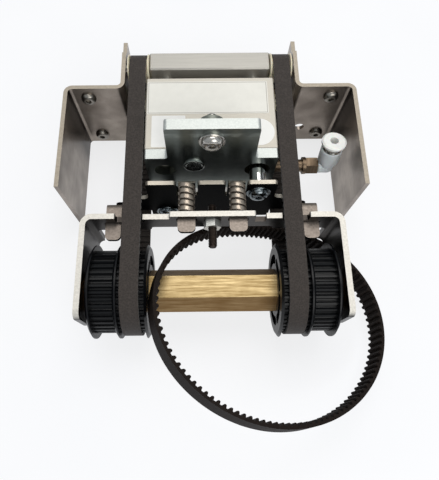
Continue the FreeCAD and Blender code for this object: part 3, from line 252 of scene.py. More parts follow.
def clouds(tree, place, width, low, high):
    """Soft patches between 0 and 1, width in millimetres, from the noise between low and high."""
    noise = add(tree, "ShaderNodeTexNoise", {"Vector": place["Object"], "Scale": per(width),
                                             "Detail": 2.0})
    return add(tree, "ShaderNodeMapRange", {"Value": noise.outputs["Fac"], "From Min": low,
                                            "From Max": high}).outputs[0]


def front_edges(tree, place, above):
    """1 on surfaces that face +Z and lie above a height in millimetres, else 0."""
    normal = add(tree, "ShaderNodeSeparateXYZ", {0: place["Normal"]}).outputs["Z"]
    height = add(tree, "ShaderNodeSeparateXYZ", {0: place["Object"]}).outputs["Z"]
    facing = add(tree, "ShaderNodeMapRange", {"Value": normal, "From Min": 0.2, "From Max": 0.7}).outputs[0]
    over = add(tree, "ShaderNodeMath", {0: height, 1: above * MM}, operation="GREATER_THAN").outputs[0]
    return add(tree, "ShaderNodeMath", {0: facing, 1: over}, operation="MULTIPLY").outputs[0]


def bend_shade_mask(tree, place, wing_x, reach):
    """A mask for painted shade and reflection: 1 inside a bracket's wing close to the bend, where only the
    flange shows in it, else 0. Millimetres.
    """
    spot = add(tree, "ShaderNodeSeparateXYZ", {0: place["Object"]})
    side = add(tree, "ShaderNodeMath", {0: spot.outputs["X"]}, operation="ABSOLUTE").outputs[0]
    on_wing = add(tree, "ShaderNodeMath", {0: side, 1: wing_x * MM}, operation="GREATER_THAN").outputs[0]
    near = add(tree, "ShaderNodeMapRange", {"Value": spot.outputs["Y"], "From Min": -reach * MM,
                                            "From Max": -reach / 2 * MM}).outputs[0]
    facing = add(tree, "ShaderNodeSeparateXYZ", {0: place["Normal"]}).outputs["X"]
    outward = add(tree, "ShaderNodeMath", {0: spot.outputs["X"], 1: facing}, operation="MULTIPLY").outputs[0]
    inside = add(tree, "ShaderNodeMath", {0: outward, 1: 0.0}, operation="LESS_THAN").outputs[0]
    bend = add(tree, "ShaderNodeMath", {0: on_wing, 1: near}, operation="MULTIPLY").outputs[0]
    return add(tree, "ShaderNodeMath", {0: bend, 1: inside}, operation="MULTIPLY").outputs[0]


def layered(tree, tone, *layers):
    """Lays colours over a tone: a layer is a pattern, the share it has where that is 1, and a colour."""
    for pattern, most, layer in layers:
        share = add(tree, "ShaderNodeMath", {0: pattern, 1: most}, operation="MULTIPLY", use_clamp=True)
        # A Mix node's colours are its inputs 6 and 7 and its output 2
        mix = add(tree, "ShaderNodeMix", {0: share.outputs[0], 6: tone, 7: layer}, data_type="RGBA")
        tone = mix.outputs[2]
    return tone


def dress(tree, shader, pattern, rough, tone=None, bump=None, edges=None):
    """Lets a pattern make a surface rougher between two values. A tone gives its colour, a bump is a pattern,
    its depth in millimetres and a strength, and edges are a mask and the roughness of the cut edges there."""
    roughness = add(tree, "ShaderNodeMapRange", {"Value": pattern, "To Min": rough[0], "To Max": rough[1]})
    if edges:
        mask, cut = edges
        # A Mix node's plain numbers are its inputs 2 and 3
        roughness = add(tree, "ShaderNodeMix", {0: mask, 2: roughness.outputs[0], 3: cut})
    tree.links.new(roughness.outputs[0], shader.inputs["Roughness"])
    if tone is not None:
        tree.links.new(tone, shader.inputs["Base Color"])
    if bump:
        height, depth, strength = bump
        raised = add(tree, "ShaderNodeBump", {"Height": height, "Distance": depth * MM, "Strength": strength})
        tree.links.new(raised.outputs[0], shader.inputs["Normal"])


# Finishes

def rolled_stainless(name, face, shade, edge, edge_above, stretch, wing_x=None):
    """Cold-rolled stainless sheet: satin, cloudy from handling, with matt grainy sheared edges. Where wing_x
    is given, painted shade darkens the inside of the wings near the bend.
    """
    material, tree, shader, place = finish(name, Metallic=1.0)
    lines = marks(tree, place, 0.6, stretch, roughness=0.6)
    layers = [(clouds(tree, place, width=16, low=0.35, high=0.7), 1.0, shade), (lines, 0.5, shade),
              (clouds(tree, place, width=5, low=0.5, high=0.75), 0.4, shade)]
    # Painted shade: the inside of the wings near the bend is darkened to brown black, standing in for the
    # dark flange and shaded floor that the metal mirrors there.
    if wing_x is not None:
        layers.append((bend_shade_mask(tree, place, wing_x, reach=24), 0.93, linear("#28211D")))
    grain = marks(tree, place, 0.9)
    sheared = layered(tree, edge, (grain, 1.0, toned(edge, 0.62)))
    edges = front_edges(tree, place, edge_above)
    tone = layered(tree, face, *layers, (edges, 1.0, sheared))
    dress(tree, shader, lines, (0.24, 0.4), tone, bump=(lines, 0.03, 0.3), edges=(edges, 0.62))
    return material


def crosshead_painted_shade():
    """Crosshead steel sheet: bare cut edges on the tabs and grainy bare guide fingers where they face up, and
    painted shade, near black, on all its other faces.
    """
    material, tree, shader, place = finish("crosshead_sheet_painted_shade", Specular_IOR_Level=0.02)
    grain = marks(tree, place, 0.8, detail=4.0)
    along = add(tree, "ShaderNodeSeparateXYZ", {0: place["Object"]}).outputs["Y"]
    tab_depth = 16 * MM
    tab_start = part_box("crosshead_screws")[1].y - tab_depth
    on_finger = add(tree, "ShaderNodeMath", {0: along, 1: tab_start}, operation="LESS_THAN").outputs[0]
    finger = layered(tree, colours().finger, (grain, 1.0, colours().sheet_shade))
    bare = layered(tree, colours().tab_edge, (on_finger, 1.0, finger))
    edges = front_edges(tree, place, above=4)
    tree.links.new(edges, shader.inputs["Metallic"])
    # Painted shade: every surface but those facing up takes the near black crosshead colour.
    tone = layered(tree, colours().crosshead, (edges, 1.0, bare))
    dress(tree, shader, grain, (0.42, 0.62), tone, bump=(grain, 0.05, 0.3))
    return material


def zinc_plate(name, base, patch, roughness, edge_above=None):
    """Zinc-plated steel: smooth grey with faint passivation patches. Where edge_above gives their height, the
    mounting plate's ground edges are pale, with a patchy pale band of painted reflection below its crest."""
    material, tree, shader, place = finish(name, Metallic=1.0)
    fine = marks(tree, place, 1.4, roughness=0.6)
    layers = [(clouds(tree, place, width=9, low=0.3, high=0.7), 1.0, patch)]
    edges = None
    if edge_above is not None:
        height = add(tree, "ShaderNodeSeparateXYZ", {0: place["Object"]}).outputs["Z"]
        # Painted reflection: a patchy pale band a little below the plate's crest, made less metallic so that
        # it shows.
        band_drop, band_half = 5.0 * MM, 1.3 * MM
        band_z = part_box("mounting_plate")[1].z - band_drop
        band = add(tree, "ShaderNodeMath", {0: height, 1: band_z, 2: band_half},
                   operation="COMPARE").outputs[0]
        patches = clouds(tree, place, width=7, low=0.4, high=0.75)
        painted_reflection = add(tree, "ShaderNodeMath", {0: band, 1: patches}, operation="MULTIPLY").outputs[0]
        metallic = add(tree, "ShaderNodeMapRange", {"Value": painted_reflection, "To Min": 1.0, "To Max": 0.55})
        tree.links.new(metallic.outputs[0], shader.inputs["Metallic"])
        ground = layered(tree, linear("#D6D9D6"), (marks(tree, place, 0.7), 1.0, linear("#B2B7B4")))
        edges = (front_edges(tree, place, edge_above), 0.55)
        layers += [(painted_reflection, 0.9, linear("#B9C2BE")), (edges[0], 1.0, ground)]
    rough = (roughness - 0.04, roughness + 0.06)
    dress(tree, shader, fine, rough, layered(tree, base, *layers), edges=edges)
    return material


def blasted_aluminium():
    """Bead-blasted, anodised aluminium: matt, warm light grey with a fine grain."""
    material, tree, shader, place = finish("bead_blasted_aluminium", Metallic=0.25)
    grain = marks(tree, place, 0.7)
    tone = layered(tree, colours().block, (grain, 1.0, toned(colours().block, 0.86)))
    dress(tree, shader, grain, (0.5, 0.66), tone, bump=(grain, 0.05, 0.3))
    return material


def milled_aluminium():
    """Milled and anodised bar: light grey with faint cutter lines along its length."""
    material, tree, shader, place = finish("milled_aluminium", Metallic=0.7)
    lines = marks(tree, place, 0.8, (0.05, 1.0, 1.0), roughness=0.6)
    tone = layered(tree, colours().bar, (lines, 1.0, toned(colours().bar, 0.8)))
    dress(tree, shader, lines, (0.36, 0.52), tone, bump=(lines, 0.03, 0.25))
    return material


def ground_chrome():
    """Hard-chromed, ground rod: a mirror with faint grinding rings."""
    material, tree, shader, place = finish("hard_chrome", Metallic=1.0, Base_Color=linear("#D6D6D4"))
    rings = marks(tree, place, 0.7, (0.1, 1.0, 0.1), roughness=0.6)
    dress(tree, shader, rings, (0.06, 0.16))
    return material


def drawn_brass():
    """Drawn brass bar, dulled: golden with lengthwise die lines and cloudy brown tarnish, with painted shade,
    dark brown, on the flats that face down at rest.
    """
    material, tree, shader, place = finish("drawn_brass", Metallic=1.0)
    lines = marks(tree, place, 0.65, (0.05, 1.0, 1.0), roughness=0.6)
    drawn = add(tree, "ShaderNodeMapRange", {"Value": lines, "From Min": 0.36, "From Max": 0.66}).outputs[0]
    tarnish = clouds(tree, place, width=9, low=0.38, high=0.72)
    # Painted shade: flats that face down in the bar's own frame are darkened brown, and turn with the shaft.
    upward = add(tree, "ShaderNodeSeparateXYZ", {0: place["Normal"]}).outputs["Z"]
    painted_shade_under = add(tree, "ShaderNodeMapRange", {"Value": upward, "From Min": 0.75, "From Max": 0.5}).outputs[0]
    tone = layered(tree, colours().brass, (drawn, 0.8, linear("#846B40")), (tarnish, 0.45, linear("#7A6238")),
                   (painted_shade_under, 0.6, linear("#6E481F")))
    dress(tree, shader, lines, (0.42, 0.58), tone, bump=(lines, 0.05, 0.35))
    return material


def sintered_bronze():
    """Sintered bronze bush: brown-gold, porous, matt."""
    material, tree, shader, place = finish("sintered_bronze", Metallic=1.0)
    pores = marks(tree, place, 0.4)
    dress(tree, shader, pores, (0.4, 0.6), layered(tree, linear("#A9824A"), (pores, 1.0, linear("#6E5330"))))
    return material


def faced_belt():
    """Polyurethane belt faced with nylon twill: brown-grey, matt, a speckle of threads, and a pale line of
    painted highlight across it where it bends.
    """
    material, tree, shader, place = finish("twill_faced_belt", Specular_IOR_Level=0.25, Sheen_Weight=0.1)
    threads = add(tree, "ShaderNodeTexVoronoi", {"Vector": place["Object"],
                                                 "Scale": 1.0 / sizes().weave}).outputs["Distance"]
    lint = marks(tree, place, 1.6, detail=5.0, roughness=0.7)
    speckle = add(tree, "ShaderNodeMath", {0: threads, 1: lint}, operation="ADD").outputs[0]
    flecks = add(tree, "ShaderNodeMapRange", {"Value": speckle, "From Min": 0.5, "From Max": 1.4}).outputs[0]
    along = add(tree, "ShaderNodeSeparateXYZ", {0: place["Object"]}).outputs["Y"]
    # Painted highlight: a pale line across the belt at one place along its run, where the belt bends and
    # faces the light differently.
    bend_highlight_y, bend_highlight_half = -16 * MM, 1.2 * MM
    bend_highlight = add(tree, "ShaderNodeMath", {0: along, 1: bend_highlight_y, 2: bend_highlight_half},
                 operation="COMPARE").outputs[0]
    light = toned(colours().belt, 1.5)
    tone = layered(tree, toned(colours().belt, 0.75), (flecks, 1.0, light), (bend_highlight, 0.3, light))
    dress(tree, shader, lint, (0.7, 0.92), tone, bump=(threads, 0.08, 0.5))
    return material


def moulded_rubber(name, base, roughness):
    """Moulded chloroprene: black-brown, satin, with dusty specks."""
    material, tree, shader, place = finish(name, Specular_IOR_Level=0.1)
    dust = marks(tree, place, 1.1, detail=5.0, roughness=0.7)
    specks = add(tree, "ShaderNodeMapRange", {"Value": dust, "From Min": 0.5, "From Max": 0.85}).outputs[0]
    tone = layered(tree, base, (specks, 1.0, toned(base, 2.2)))
    dress(tree, shader, dust, (roughness - 0.08, roughness + 0.12), tone, bump=(dust, 0.04, 0.3))
    return material


def black_nylon():
    """Glass-filled nylon, moulded: blue-black with a soft shine and a faint flow grain."""
    material, tree, shader, place = finish("moulded_black_nylon", Specular_IOR_Level=0.22, IOR=1.53)
    flow = marks(tree, place, 1.5)
    tone = layered(tree, colours().pulley, (flow, 1.0, toned(colours().pulley, 1.6)))
    dress(tree, shader, flow, (0.26, 0.42), tone, bump=(flow, 0.02, 0.25))
    return material


def moulded_plastic(name, base, roughness):
    """Injection-moulded plastic: smooth, with a barely cloudy tone."""
    material, tree, shader, place = finish(name, IOR=1.48, Subsurface_Weight=0.05, Subsurface_Scale=0.002)
    cloud = clouds(tree, place, width=3, low=0.3, high=0.7)
    tone = layered(tree, base, (cloud, 1.0, toned(base, 0.9)))
    dress(tree, shader, cloud, (roughness, roughness + 0.1), tone)
    return material


def plated_nickel(name, light, dark, roughness):
    """Nickel-plated brass: a warm mirror with light scuffs, browner where the plating has worn."""
    material, tree, shader, place = finish(name, Metallic=1.0)
    scuffs = marks(tree, place, 0.8, (1.0, 0.2, 0.2), roughness=0.6)
    tone = layered(tree, linear(light), (scuffs, 1.0, linear(dark)))
    dress(tree, shader, scuffs, (roughness, roughness + 0.16), tone)
    return material


def spring_wire():
    """Drawn flat spring wire: tan-grey, streaked along the coil."""
    material, tree, shader, place = finish("flat_spring_wire", Metallic=1.0)
    lines = marks(tree, place, 0.8, (1.0, 0.3, 1.0), roughness=0.6)
    dress(tree, shader, lines, (0.3, 0.5), layered(tree, linear("#CBC1B3"), (lines, 1.0, linear("#7A6B5F"))))
    return material


def black_oxide():
    """Blackened screw steel: brown-black, oily, with worn patches."""
    material, tree, shader, place = finish("black_oxide_steel", Metallic=0.8)
    wear = marks(tree, place, 1.2, detail=4.0)
    dress(tree, shader, wear, (0.35, 0.55), layered(tree, linear("#241E1B"), (wear, 1.0, linear("#4A3F38"))))
    return material


def label_film(name, base, border=None):
    """Matt polyester label film, left bare, with a thin printed frame line where border gives its box."""
    material, tree, shader, place = finish(name, Roughness=0.45, Specular_IOR_Level=0.4)
    film = layered(tree, base, (clouds(tree, place, width=5, low=0.3, high=0.7), 1.0, toned(base, 0.95)))
    if border:
        low, high, line = border
        spot = add(tree, "ShaderNodeSeparateXYZ", {0: place["Object"]}).outputs
        past = []
        for axis, a, b in (("X", low[0], high[0]), ("Y", low[1], high[1])):
            offset = add(tree, "ShaderNodeMath", {0: spot[axis], 1: (a + b) / 2}, operation="SUBTRACT")
            reach = add(tree, "ShaderNodeMath", {0: offset.outputs[0]}, operation="ABSOLUTE")
            outside = add(tree, "ShaderNodeMath", {0: reach.outputs[0], 1: (b - a) / 2}, operation="SUBTRACT")
            past.append(outside.outputs[0])
        edge = add(tree, "ShaderNodeMath", {0: past[0], 1: past[1]}, operation="MAXIMUM").outputs[0]
        on_line = add(tree, "ShaderNodeMath", {0: edge, 1: 0.0, 2: line}, operation="COMPARE").outputs[0]
        film = layered(tree, film, (on_line, 1.0, linear("#A9A49C")))
    tree.links.new(film, shader.inputs["Base Color"])
    return material


def paint(material, *names):
    """Gives CAD nodes one finish."""
    for name in names:
        for slot in NODES[name].material_slots:
            slot.material = material


# Meshes

def mesh_object(name, mesh, body, material=None):
    """Links a finished mesh as a piece that moves with a body."""
    piece = bpy.data.objects.new(name, mesh)
    bpy.context.scene.collection.objects.link(piece)
    if material:
        mesh.materials.append(material)
    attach(piece, body)
    return piece


def turned_mesh(name, rings, steps):
    """Closed mesh of rings round the Y axis: each ring is (height along Y, radius as a function of angle)."""
    mesh = bpy.data.meshes.new(name)
    shape = bmesh.new()
    loops = []
    for height, radius in rings:
        loop = []
        for k in range(steps):
            turn = 2 * math.pi * k / steps
            r = radius(turn)
            loop.append(shape.verts.new((r * math.cos(turn), height, r * math.sin(turn))))
        loops.append(loop)
    for near, far in zip(loops, loops[1:]):
        for k in range(steps):
            shape.faces.new((near[k - 1], near[k], far[k], far[k - 1]))
    shape.faces.new(loops[0])
    shape.faces.new(loops[-1])
    bmesh.ops.recalc_face_normals(shape, faces=shape.faces)
    for face in shape.faces:
        face.smooth = len(face.verts) == 4
    shape.to_mesh(mesh)
    shape.free()
    mesh.set_sharp_from_angle(angle=SHARP_ANGLE)
    return mesh


def circle(radius):
    return lambda turn: radius


def hexagon(across_flats):
    """Radius of a hexagon at an angle."""
    return lambda turn: across_flats / 2 / math.cos((turn + math.pi / 6) % (math.pi / 3) - math.pi / 6)


def thread_rings(start, end, radius, pitch):
    """Rings of a V thread from start to end along Y."""
    depth = 0.55 * pitch
    per_turn = 6
    count = int((end - start) / pitch * per_turn)

    def ridge(height):
        def at(turn):
            phase = (height / pitch - turn / (2 * math.pi)) % 1.0
            return radius - depth * abs(2 * phase - 1)
        return at
    heights = [start + (end - start) * k / count for k in range(count + 1)]
    return [(height, ridge(height)) for height in heights]


def dome_screw(name, shank, head):
    """Button screw on the Y axis: seat at 0, head towards -Y with a hexagon socket, threaded shank."""
    size = {key: value * MM for key, value in head.items()}
    radius, flange, rim, dome, socket = (size[key] for key in ("radius", "flange", "rim", "dome", "socket"))
    bevel, rim_edge, neck, chamfer = 0.15 * MM, 0.2 * MM, 0.3 * MM, 0.4 * MM
    top = -rim - size["rise"]
    rings = [(top + size["sink"], hexagon(socket * 0.98)), (top + bevel, hexagon(socket)),
             (top, hexagon(socket * 1.06))]
    arc_steps = 7
    crown = 0.5 * dome
    for k in range(arc_steps + 1):
        swing = math.pi / 2 * k / arc_steps
        rings.append((top + size["rise"] * (1 - math.cos(swing)),
                      circle(crown + (dome - crown) * math.sin(swing))))
    if rim:
        rings += [(-rim, circle(flange - bevel)), (-rim + rim_edge, circle(flange)), (0.0, circle(flange))]
    rings.append((0.0, circle(radius)))
    pitch = sizes().thread_pitch if rim else sizes().small_pitch
    rings += thread_rings(neck, shank - chamfer, radius, pitch)
    rings.append((shank, circle(radius - chamfer)))
    return turned_mesh(name, rings, SCREW_STEPS)


def screw_seats(name, shank):
    """Seats of a group of screws: the centres of its loose solids, at the shank's root."""
    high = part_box(name)[1]
    tip_depth, screw_gap = 0.05 * MM, 6 * MM
    tips = [v.co for v in NODES[name].data.vertices if v.co.y > high.y - tip_depth]
    groups = []
    for tip in tips:
        point = Vector((tip.x, 0, tip.z))
        for group in groups:
            if (point - group[0]).length < screw_gap:
                group.append(point)
                break
        else:
            groups.append([point])
    places = []
    for group in groups:
        xs, zs = [p.x for p in group], [p.z for p in group]
        places.append(((min(xs) + max(xs)) / 2, high.y - shank, (min(zs) + max(zs)) / 2))
    return places


def film_mesh(name, outline, base, depth):
    """Thin sheet with a closed outline of (x, y) points, lying on the height base."""
    mesh = bpy.data.meshes.new(name)
    shape = bmesh.new()
    lower = [shape.verts.new((x, y, base)) for x, y in outline]
    upper = [shape.verts.new((x, y, base + depth)) for x, y in outline]
    for k in range(len(outline)):
        shape.faces.new((lower[k - 1], lower[k], upper[k], upper[k - 1]))
    shape.faces.new(upper)
    shape.faces.new(list(reversed(lower)))
    bmesh.ops.recalc_face_normals(shape, faces=shape.faces)
    shape.to_mesh(mesh)
    shape.free()
    return mesh


def arc(x, y, radius, first, last, steps):
    """Points on an arc, angles in degrees."""
    turns = [math.radians(first + (last - first) * k / steps) for k in range(steps + 1)]
    return [(x + radius * math.cos(a), y + radius * math.sin(a)) for a in turns]


def rounded_rectangle(low, high, radius):
    corners = ((high[0] - radius, high[1] - radius, 0), (low[0] + radius, high[1] - radius, 90),
               (low[0] + radius, low[1] + radius, 180), (high[0] - radius, low[1] + radius, 270))
    points = []
    for x, y, first in corners:
        points += arc(x, y, radius, first, first + 90, steps=6)
    return points


# Geometry Nodes

def node_group(name, inputs):
    """A geometry tree with named inputs, its input node and its output node."""
    tree = bpy.data.node_groups.new(name, "GeometryNodeTree")
    tree.interface.new_socket("Geometry", in_out="INPUT", socket_type="NodeSocketGeometry")
    for label, kind in inputs.items():
        tree.interface.new_socket(label, in_out="INPUT", socket_type=kind)
    tree.interface.new_socket("Geometry", in_out="OUTPUT", socket_type="NodeSocketGeometry")
    return tree, add(tree, "NodeGroupInput"), add(tree, "NodeGroupOutput")


def clad(tree, source, shape, result):
    """Ends a geometry tree: instances become plain mesh, which takes the material that the tree is given."""
    plain = add(tree, "GeometryNodeRealizeInstances", {"Geometry": shape})
    dressed = add(tree, "GeometryNodeSetMaterial", {"Geometry": plain.outputs[0],
                                                    "Material": source.outputs["Material"]})
    tree.links.new(dressed.outputs[0], result.inputs[0])


def grown(name, tree, values, carrier=None):
    """Runs a geometry tree with input values on a carrier mesh and returns the result as a plain mesh."""
    carrier = carrier or bpy.data.meshes.new(name + "_carrier")
    maker = bpy.data.objects.new(name + "_maker", carrier)
    bpy.context.scene.collection.objects.link(maker)
    modifier = maker.modifiers.new("Grow", "NODES")
    modifier.node_group = tree
    for item in tree.interface.items_tree:
        if item.in_out == "INPUT" and item.name in values:
            modifier[item.identifier] = values[item.name]
    scene_state = bpy.context.evaluated_depsgraph_get()
    mesh = bpy.data.meshes.new_from_object(maker.evaluated_get(scene_state))
    mesh.name = name
    maker.modifiers.remove(modifier)
    bpy.data.objects.remove(maker)
    return mesh


def spring_tree():
    """Flat wire wound on a spiral along Y, from a start point."""
    measures = ("Turns", "Radius", "Length", "Wire Width", "Wire Depth", "Wire Edge")
    tree, source, result = node_group("Flat Wire Spring", {
        **{measure: "NodeSocketFloat" for measure in measures}, "Start": "NodeSocketVector",
        "Material": "NodeSocketMaterial"})
    spiral = add(tree, "GeometryNodeCurveSpiral", {
        "Resolution": 48, "Rotations": source.outputs["Turns"], "Start Radius": source.outputs["Radius"],
        "End Radius": source.outputs["Radius"], "Height": source.outputs["Length"]})
    upright = add(tree, "GeometryNodeSetCurveNormal", {"Curve": spiral.outputs[0]}, mode="Z_UP")
    section = add(tree, "GeometryNodeCurvePrimitiveQuadrilateral", {
        "Width": source.outputs["Wire Depth"], "Height": source.outputs["Wire Width"]})
    soft = add(tree, "GeometryNodeFilletCurve", {
        "Curve": section.outputs[0], "Radius": source.outputs["Wire Edge"], "Count": 3}, mode="POLY")
    wire = add(tree, "GeometryNodeCurveToMesh", {
        "Curve": upright.outputs[0], "Profile Curve": soft.outputs[0], "Fill Caps": True})
    lying = add(tree, "GeometryNodeTransform", {
        "Geometry": wire.outputs[0], "Translation": source.outputs["Start"],
        "Rotation": (-math.pi / 2, 0.0, 0.0)})
    clad(tree, source, lying.outputs[0], result)
    return tree


def screw_tree():
    """Copies of one screw on the points of a carrier mesh."""
    tree, source, result = node_group("Screws on Points", {"Screw": "NodeSocketObject",
                                                           "Material": "NodeSocketMaterial"})
    screw = add(tree, "GeometryNodeObjectInfo", {"Object": source.outputs["Screw"], "As Instance": True})
    copies = add(tree, "GeometryNodeInstanceOnPoints", {"Points": source.outputs["Geometry"],
                                                        "Instance": screw.outputs["Geometry"]})
    clad(tree, source, copies.outputs[0], result)
    return tree


# Operators, one for each group of parts

class LIFTUNIT_OT_brackets(Operator):
    """Finish the two bent side brackets"""
    bl_idname = "lift_unit.brackets"
    bl_label = "Side Brackets"

    def execute(self, context):
        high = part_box("right_bracket")[1] / MM
        edge_depth, wing_depth = 4.0, 2.6
        sheet = rolled_stainless("rolled_stainless", colours().sheet, colours().sheet_shade,
                                 colours().sheet_edge, edge_above=high.z - edge_depth,
                                 stretch=(1.0, 0.06, 1.0), wing_x=high.x - wing_depth)
        paint(sheet, "right_bracket", "left_bracket")
        return {"FINISHED"}


class LIFTUNIT_OT_block(Operator):
    """Finish the cylinder block, its mounting plate and inner parts, and lay on the bare labels"""
    bl_idname = "lift_unit.block"
    bl_label = "Cylinder Block"

    def execute(self, context):
        paint(blasted_aluminium(), "cylinder_block")
        plate_drop = 2.0
        edge_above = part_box("cylinder_block")[1].z / MM - plate_drop
        plate = zinc_plate("zinc_plated_plate", colours().zinc, linear("#717976"), 0.3, edge_above)
        paint(plate, "mounting_plate")
        paint(zinc_plate("zinc_plated_nut", linear("#8E918A"), linear("#777B74"), 0.5), "slot_nut")
        self.plug(zinc_plate("zinc_plated_plug", linear("#C8CCC8"), linear("#A5AAA5"), 0.22))
        paint(sintered_bronze(), "rod_bushes", "shaft_bushes")
        self.labels()
        return {"FINISHED"}

    def plug(self, material):
        """Turns the pressed-in plug: a dished face inside a raised round rim."""
        low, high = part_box("plate_plug")
        radius = (high.x - low.x) / 2
        rings = [(low.y + rise * PLUG_RISE * MM, circle(share * radius)) for rise, share in PLUG_RINGS]
        rings.append((high.y, circle(radius)))
        mesh = turned_mesh("plug_turned", rings, sizes().round_steps)
        mesh.transform(Matrix.Translation(((low.x + high.x) / 2, 0, (low.z + high.z) / 2)))
        plug = mesh_object("plug_turned", mesh, "frame", material)
        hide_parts("plate_plug")

    def labels(self):
        """Lays three bare films on the block's front."""
        low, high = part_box("cylinder_block")
        main, side, disc = ({key: value * MM for key, value in label.items()}
                            for label in (MAIN_LABEL, SIDE_LABEL, ROUND_LABEL))
        frame_low = (low.x + main["left"], high.y - main["bottom"])
        frame_high = (high.x - main["right"], high.y - main["top"])
        film_low = [c - main["margin"] for c in frame_low]
        film_high = [c + main["margin"] for c in frame_high]
        grey = label_film("label_film_grey", colours().label, (frame_low, frame_high, main["line"]))
        white = label_film("label_film_white", linear("#ECEBE8"))
        last = ROUND_LABEL_STEPS - 1
        side_low = (low.x + side["left"], low.y + side["low"])
        side_high = (low.x + side["right"], low.y + side["high"])
        centre = (high.x - disc["right"], low.y + disc["low"])
        outlines = {
            "main_label": (rounded_rectangle(film_low, film_high, main["corner"]), grey),
            "side_label": (rounded_rectangle(side_low, side_high, side["corner"]), white),
            "round_label": (arc(*centre, disc["radius"], 0, 360 * last / ROUND_LABEL_STEPS, last), white)}
        for name, (outline, film) in outlines.items():
            mesh = film_mesh(name, outline, high.z, sizes().label_depth)
            mesh_object(name, mesh, "frame", film)


class LIFTUNIT_OT_carriage(Operator):
    """Finish the top bar, rods, piston, crosshead and idlers of the lifting carriage"""
    bl_idname = "lift_unit.carriage"
    bl_label = "Lifting Carriage"

    def execute(self, context):
        paint(milled_aluminium(), "top_bar", "piston")
        paint(ground_chrome(), "guide_rod_right", "guide_rod_left", "guide_rod_rear", "piston_rod",
              "idler_pins")
        paint(crosshead_painted_shade(), "crosshead")
        paint(moulded_rubber("seal_rubber", linear("#1C1C1C"), 0.5), "piston_seal")
        paint(moulded_plastic("cream_acetal", colours().idler, 0.32), "right_front_idler", "right_rear_idler",
              "left_front_idler", "left_rear_idler")
        return {"FINISHED"}


class LIFTUNIT_OT_springs(Operator):
    """Wind the two flat-wire tension springs"""
    bl_idname = "lift_unit.springs"
    bl_label = "Tension Springs"

    def execute(self, context):
        tree = spring_tree()
        wire = spring_wire()
        for name in ("left_spring", "right_spring"):
            low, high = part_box(name)
            middle = (low + high) / 2
            span = high.y - low.y
            margin = sizes().wire_width / 2
            mesh = grown(name + "_coil", tree, {
                "Turns": sizes().spring_turns, "Radius": sizes().spring_radius, "Length": span - 2 * margin,
                "Wire Width": sizes().wire_width, "Wire Depth": sizes().wire_depth,
                "Wire Edge": sizes().wire_edge, "Start": (middle.x, low.y + margin, middle.z),
                "Material": wire})
            coil = mesh_object(name + "_coil", mesh, "carriage")
            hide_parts(name)
            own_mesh(coil)
        return {"FINISHED"}


class LIFTUNIT_OT_screws(Operator):
    """Turn the dome-headed screws and the threaded stop screw"""
    bl_idname = "lift_unit.screws"
    bl_label = "Screws"

    def execute(self, context):
        bright = zinc_plate("zinc_plated_screws", linear("#CFCDC8"), linear("#ACA7A0"), 0.2)
        dull = zinc_plate("zinc_plated_dull_screws", linear("#97938C"), linear("#7D7770"), 0.3)
        blue = zinc_plate("blue_passivated_screws", linear("#868E92"), linear("#5A6266"), 0.2)
        # The hexagon nut's colour is partly its bright zinc and partly painted light, much lighter than the
        # other plated parts, standing in for the lamp in front that lights it.
        nut = zinc_plate("zinc_plated_hexagon_nut_painted_light", linear("#EDEDE8"), linear("#D5D4CE"), 0.45)
        tree = screw_tree()
        for name, body, shank, head, plating in (("flange_screws", "frame", 5.0, PLAIN_HEAD, dull),
                                                 ("tongue_screw", "frame", 12.0, FLANGED_HEAD, bright),
                                                 ("crosshead_screws", "carriage", 12.0, FLANGED_HEAD, blue)):
            self.heads(name, body, shank * MM, head, tree, plating)
        paint(bright, "block_screws", "plate_screws", "bar_screws", "shaft_clips")
        paint(nut, "stop_nut")
        self.stop_screw()
        return {"FINISHED"}

    def heads(self, name, body, shank, head, tree, material):
        """Replaces one group of dome-headed screws, at the places of its CAD solids."""
        screw = bpy.data.objects.new(name + "_pattern", dome_screw(name + "_pattern", shank, head))
        carrier = bpy.data.meshes.new(name + "_places")
        carrier.from_pydata(screw_seats(name, shank), [], [])
        mesh = grown(name + "_turned", tree, {"Screw": screw, "Material": material}, carrier)
        bpy.data.objects.remove(screw)
        group = mesh_object(name + "_turned", mesh, body)
        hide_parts(name)

    def stop_screw(self):
        """Cuts the thread of the headless stop screw between its chamfered ends."""
        low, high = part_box("stop_screw")
        radius = (high.x - low.x) / 2
        chamfer = 0.5 * MM
        rings = [(low.y, circle(radius - chamfer))]
        rings += thread_rings(low.y + chamfer, high.y - chamfer, radius, sizes().small_pitch)
        rings.append((high.y, circle(radius - chamfer)))
        mesh = turned_mesh("stop_screw_thread", rings, STOP_SCREW_STEPS)
        mesh.transform(Matrix.Translation(((low.x + high.x) / 2, 0, (low.z + high.z) / 2)))
        screw = mesh_object("stop_screw_thread", mesh, "tension_yoke", black_oxide())
        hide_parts("stop_screw")


class LIFTUNIT_OT_belts(Operator):
    """Finish the transport belts and the loose toothed ring"""
    bl_idname = "lift_unit.belts"
    bl_label = "Belts"

    def execute(self, context):
        paint(faced_belt(), "right_belt", "left_belt")
        paint(moulded_rubber("moulded_chloroprene", colours().ring, 0.6), "loose_belt")
        return {"FINISHED"}


class LIFTUNIT_OT_shaft(Operator):
    """Finish the hexagon shaft and its four pulleys"""
    bl_idname = "lift_unit.shaft"
    bl_label = "Drive Shaft"

    def execute(self, context):
        paint(drawn_brass(), "drive_shaft")
        paint(black_nylon(), "right_transport_pulley", "left_transport_pulley", "right_input_pulley",
              "left_input_pulley")
        return {"FINISHED"}


class LIFTUNIT_OT_yoke(Operator):
    """Finish the sprung yoke"""
    bl_idname = "lift_unit.yoke"
    bl_label = "Tension Yoke"

    def execute(self, context):
        edge_depth = 5.5
        sheet = rolled_stainless("yoke_stainless", colours().yoke, linear("#2B2826"), colours().yoke_edge_and_highlight,
                                 edge_above=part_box("yoke")[1].z / MM - edge_depth, stretch=(0.06, 1.0, 1.0))
        paint(sheet, "yoke")
        return {"FINISHED"}


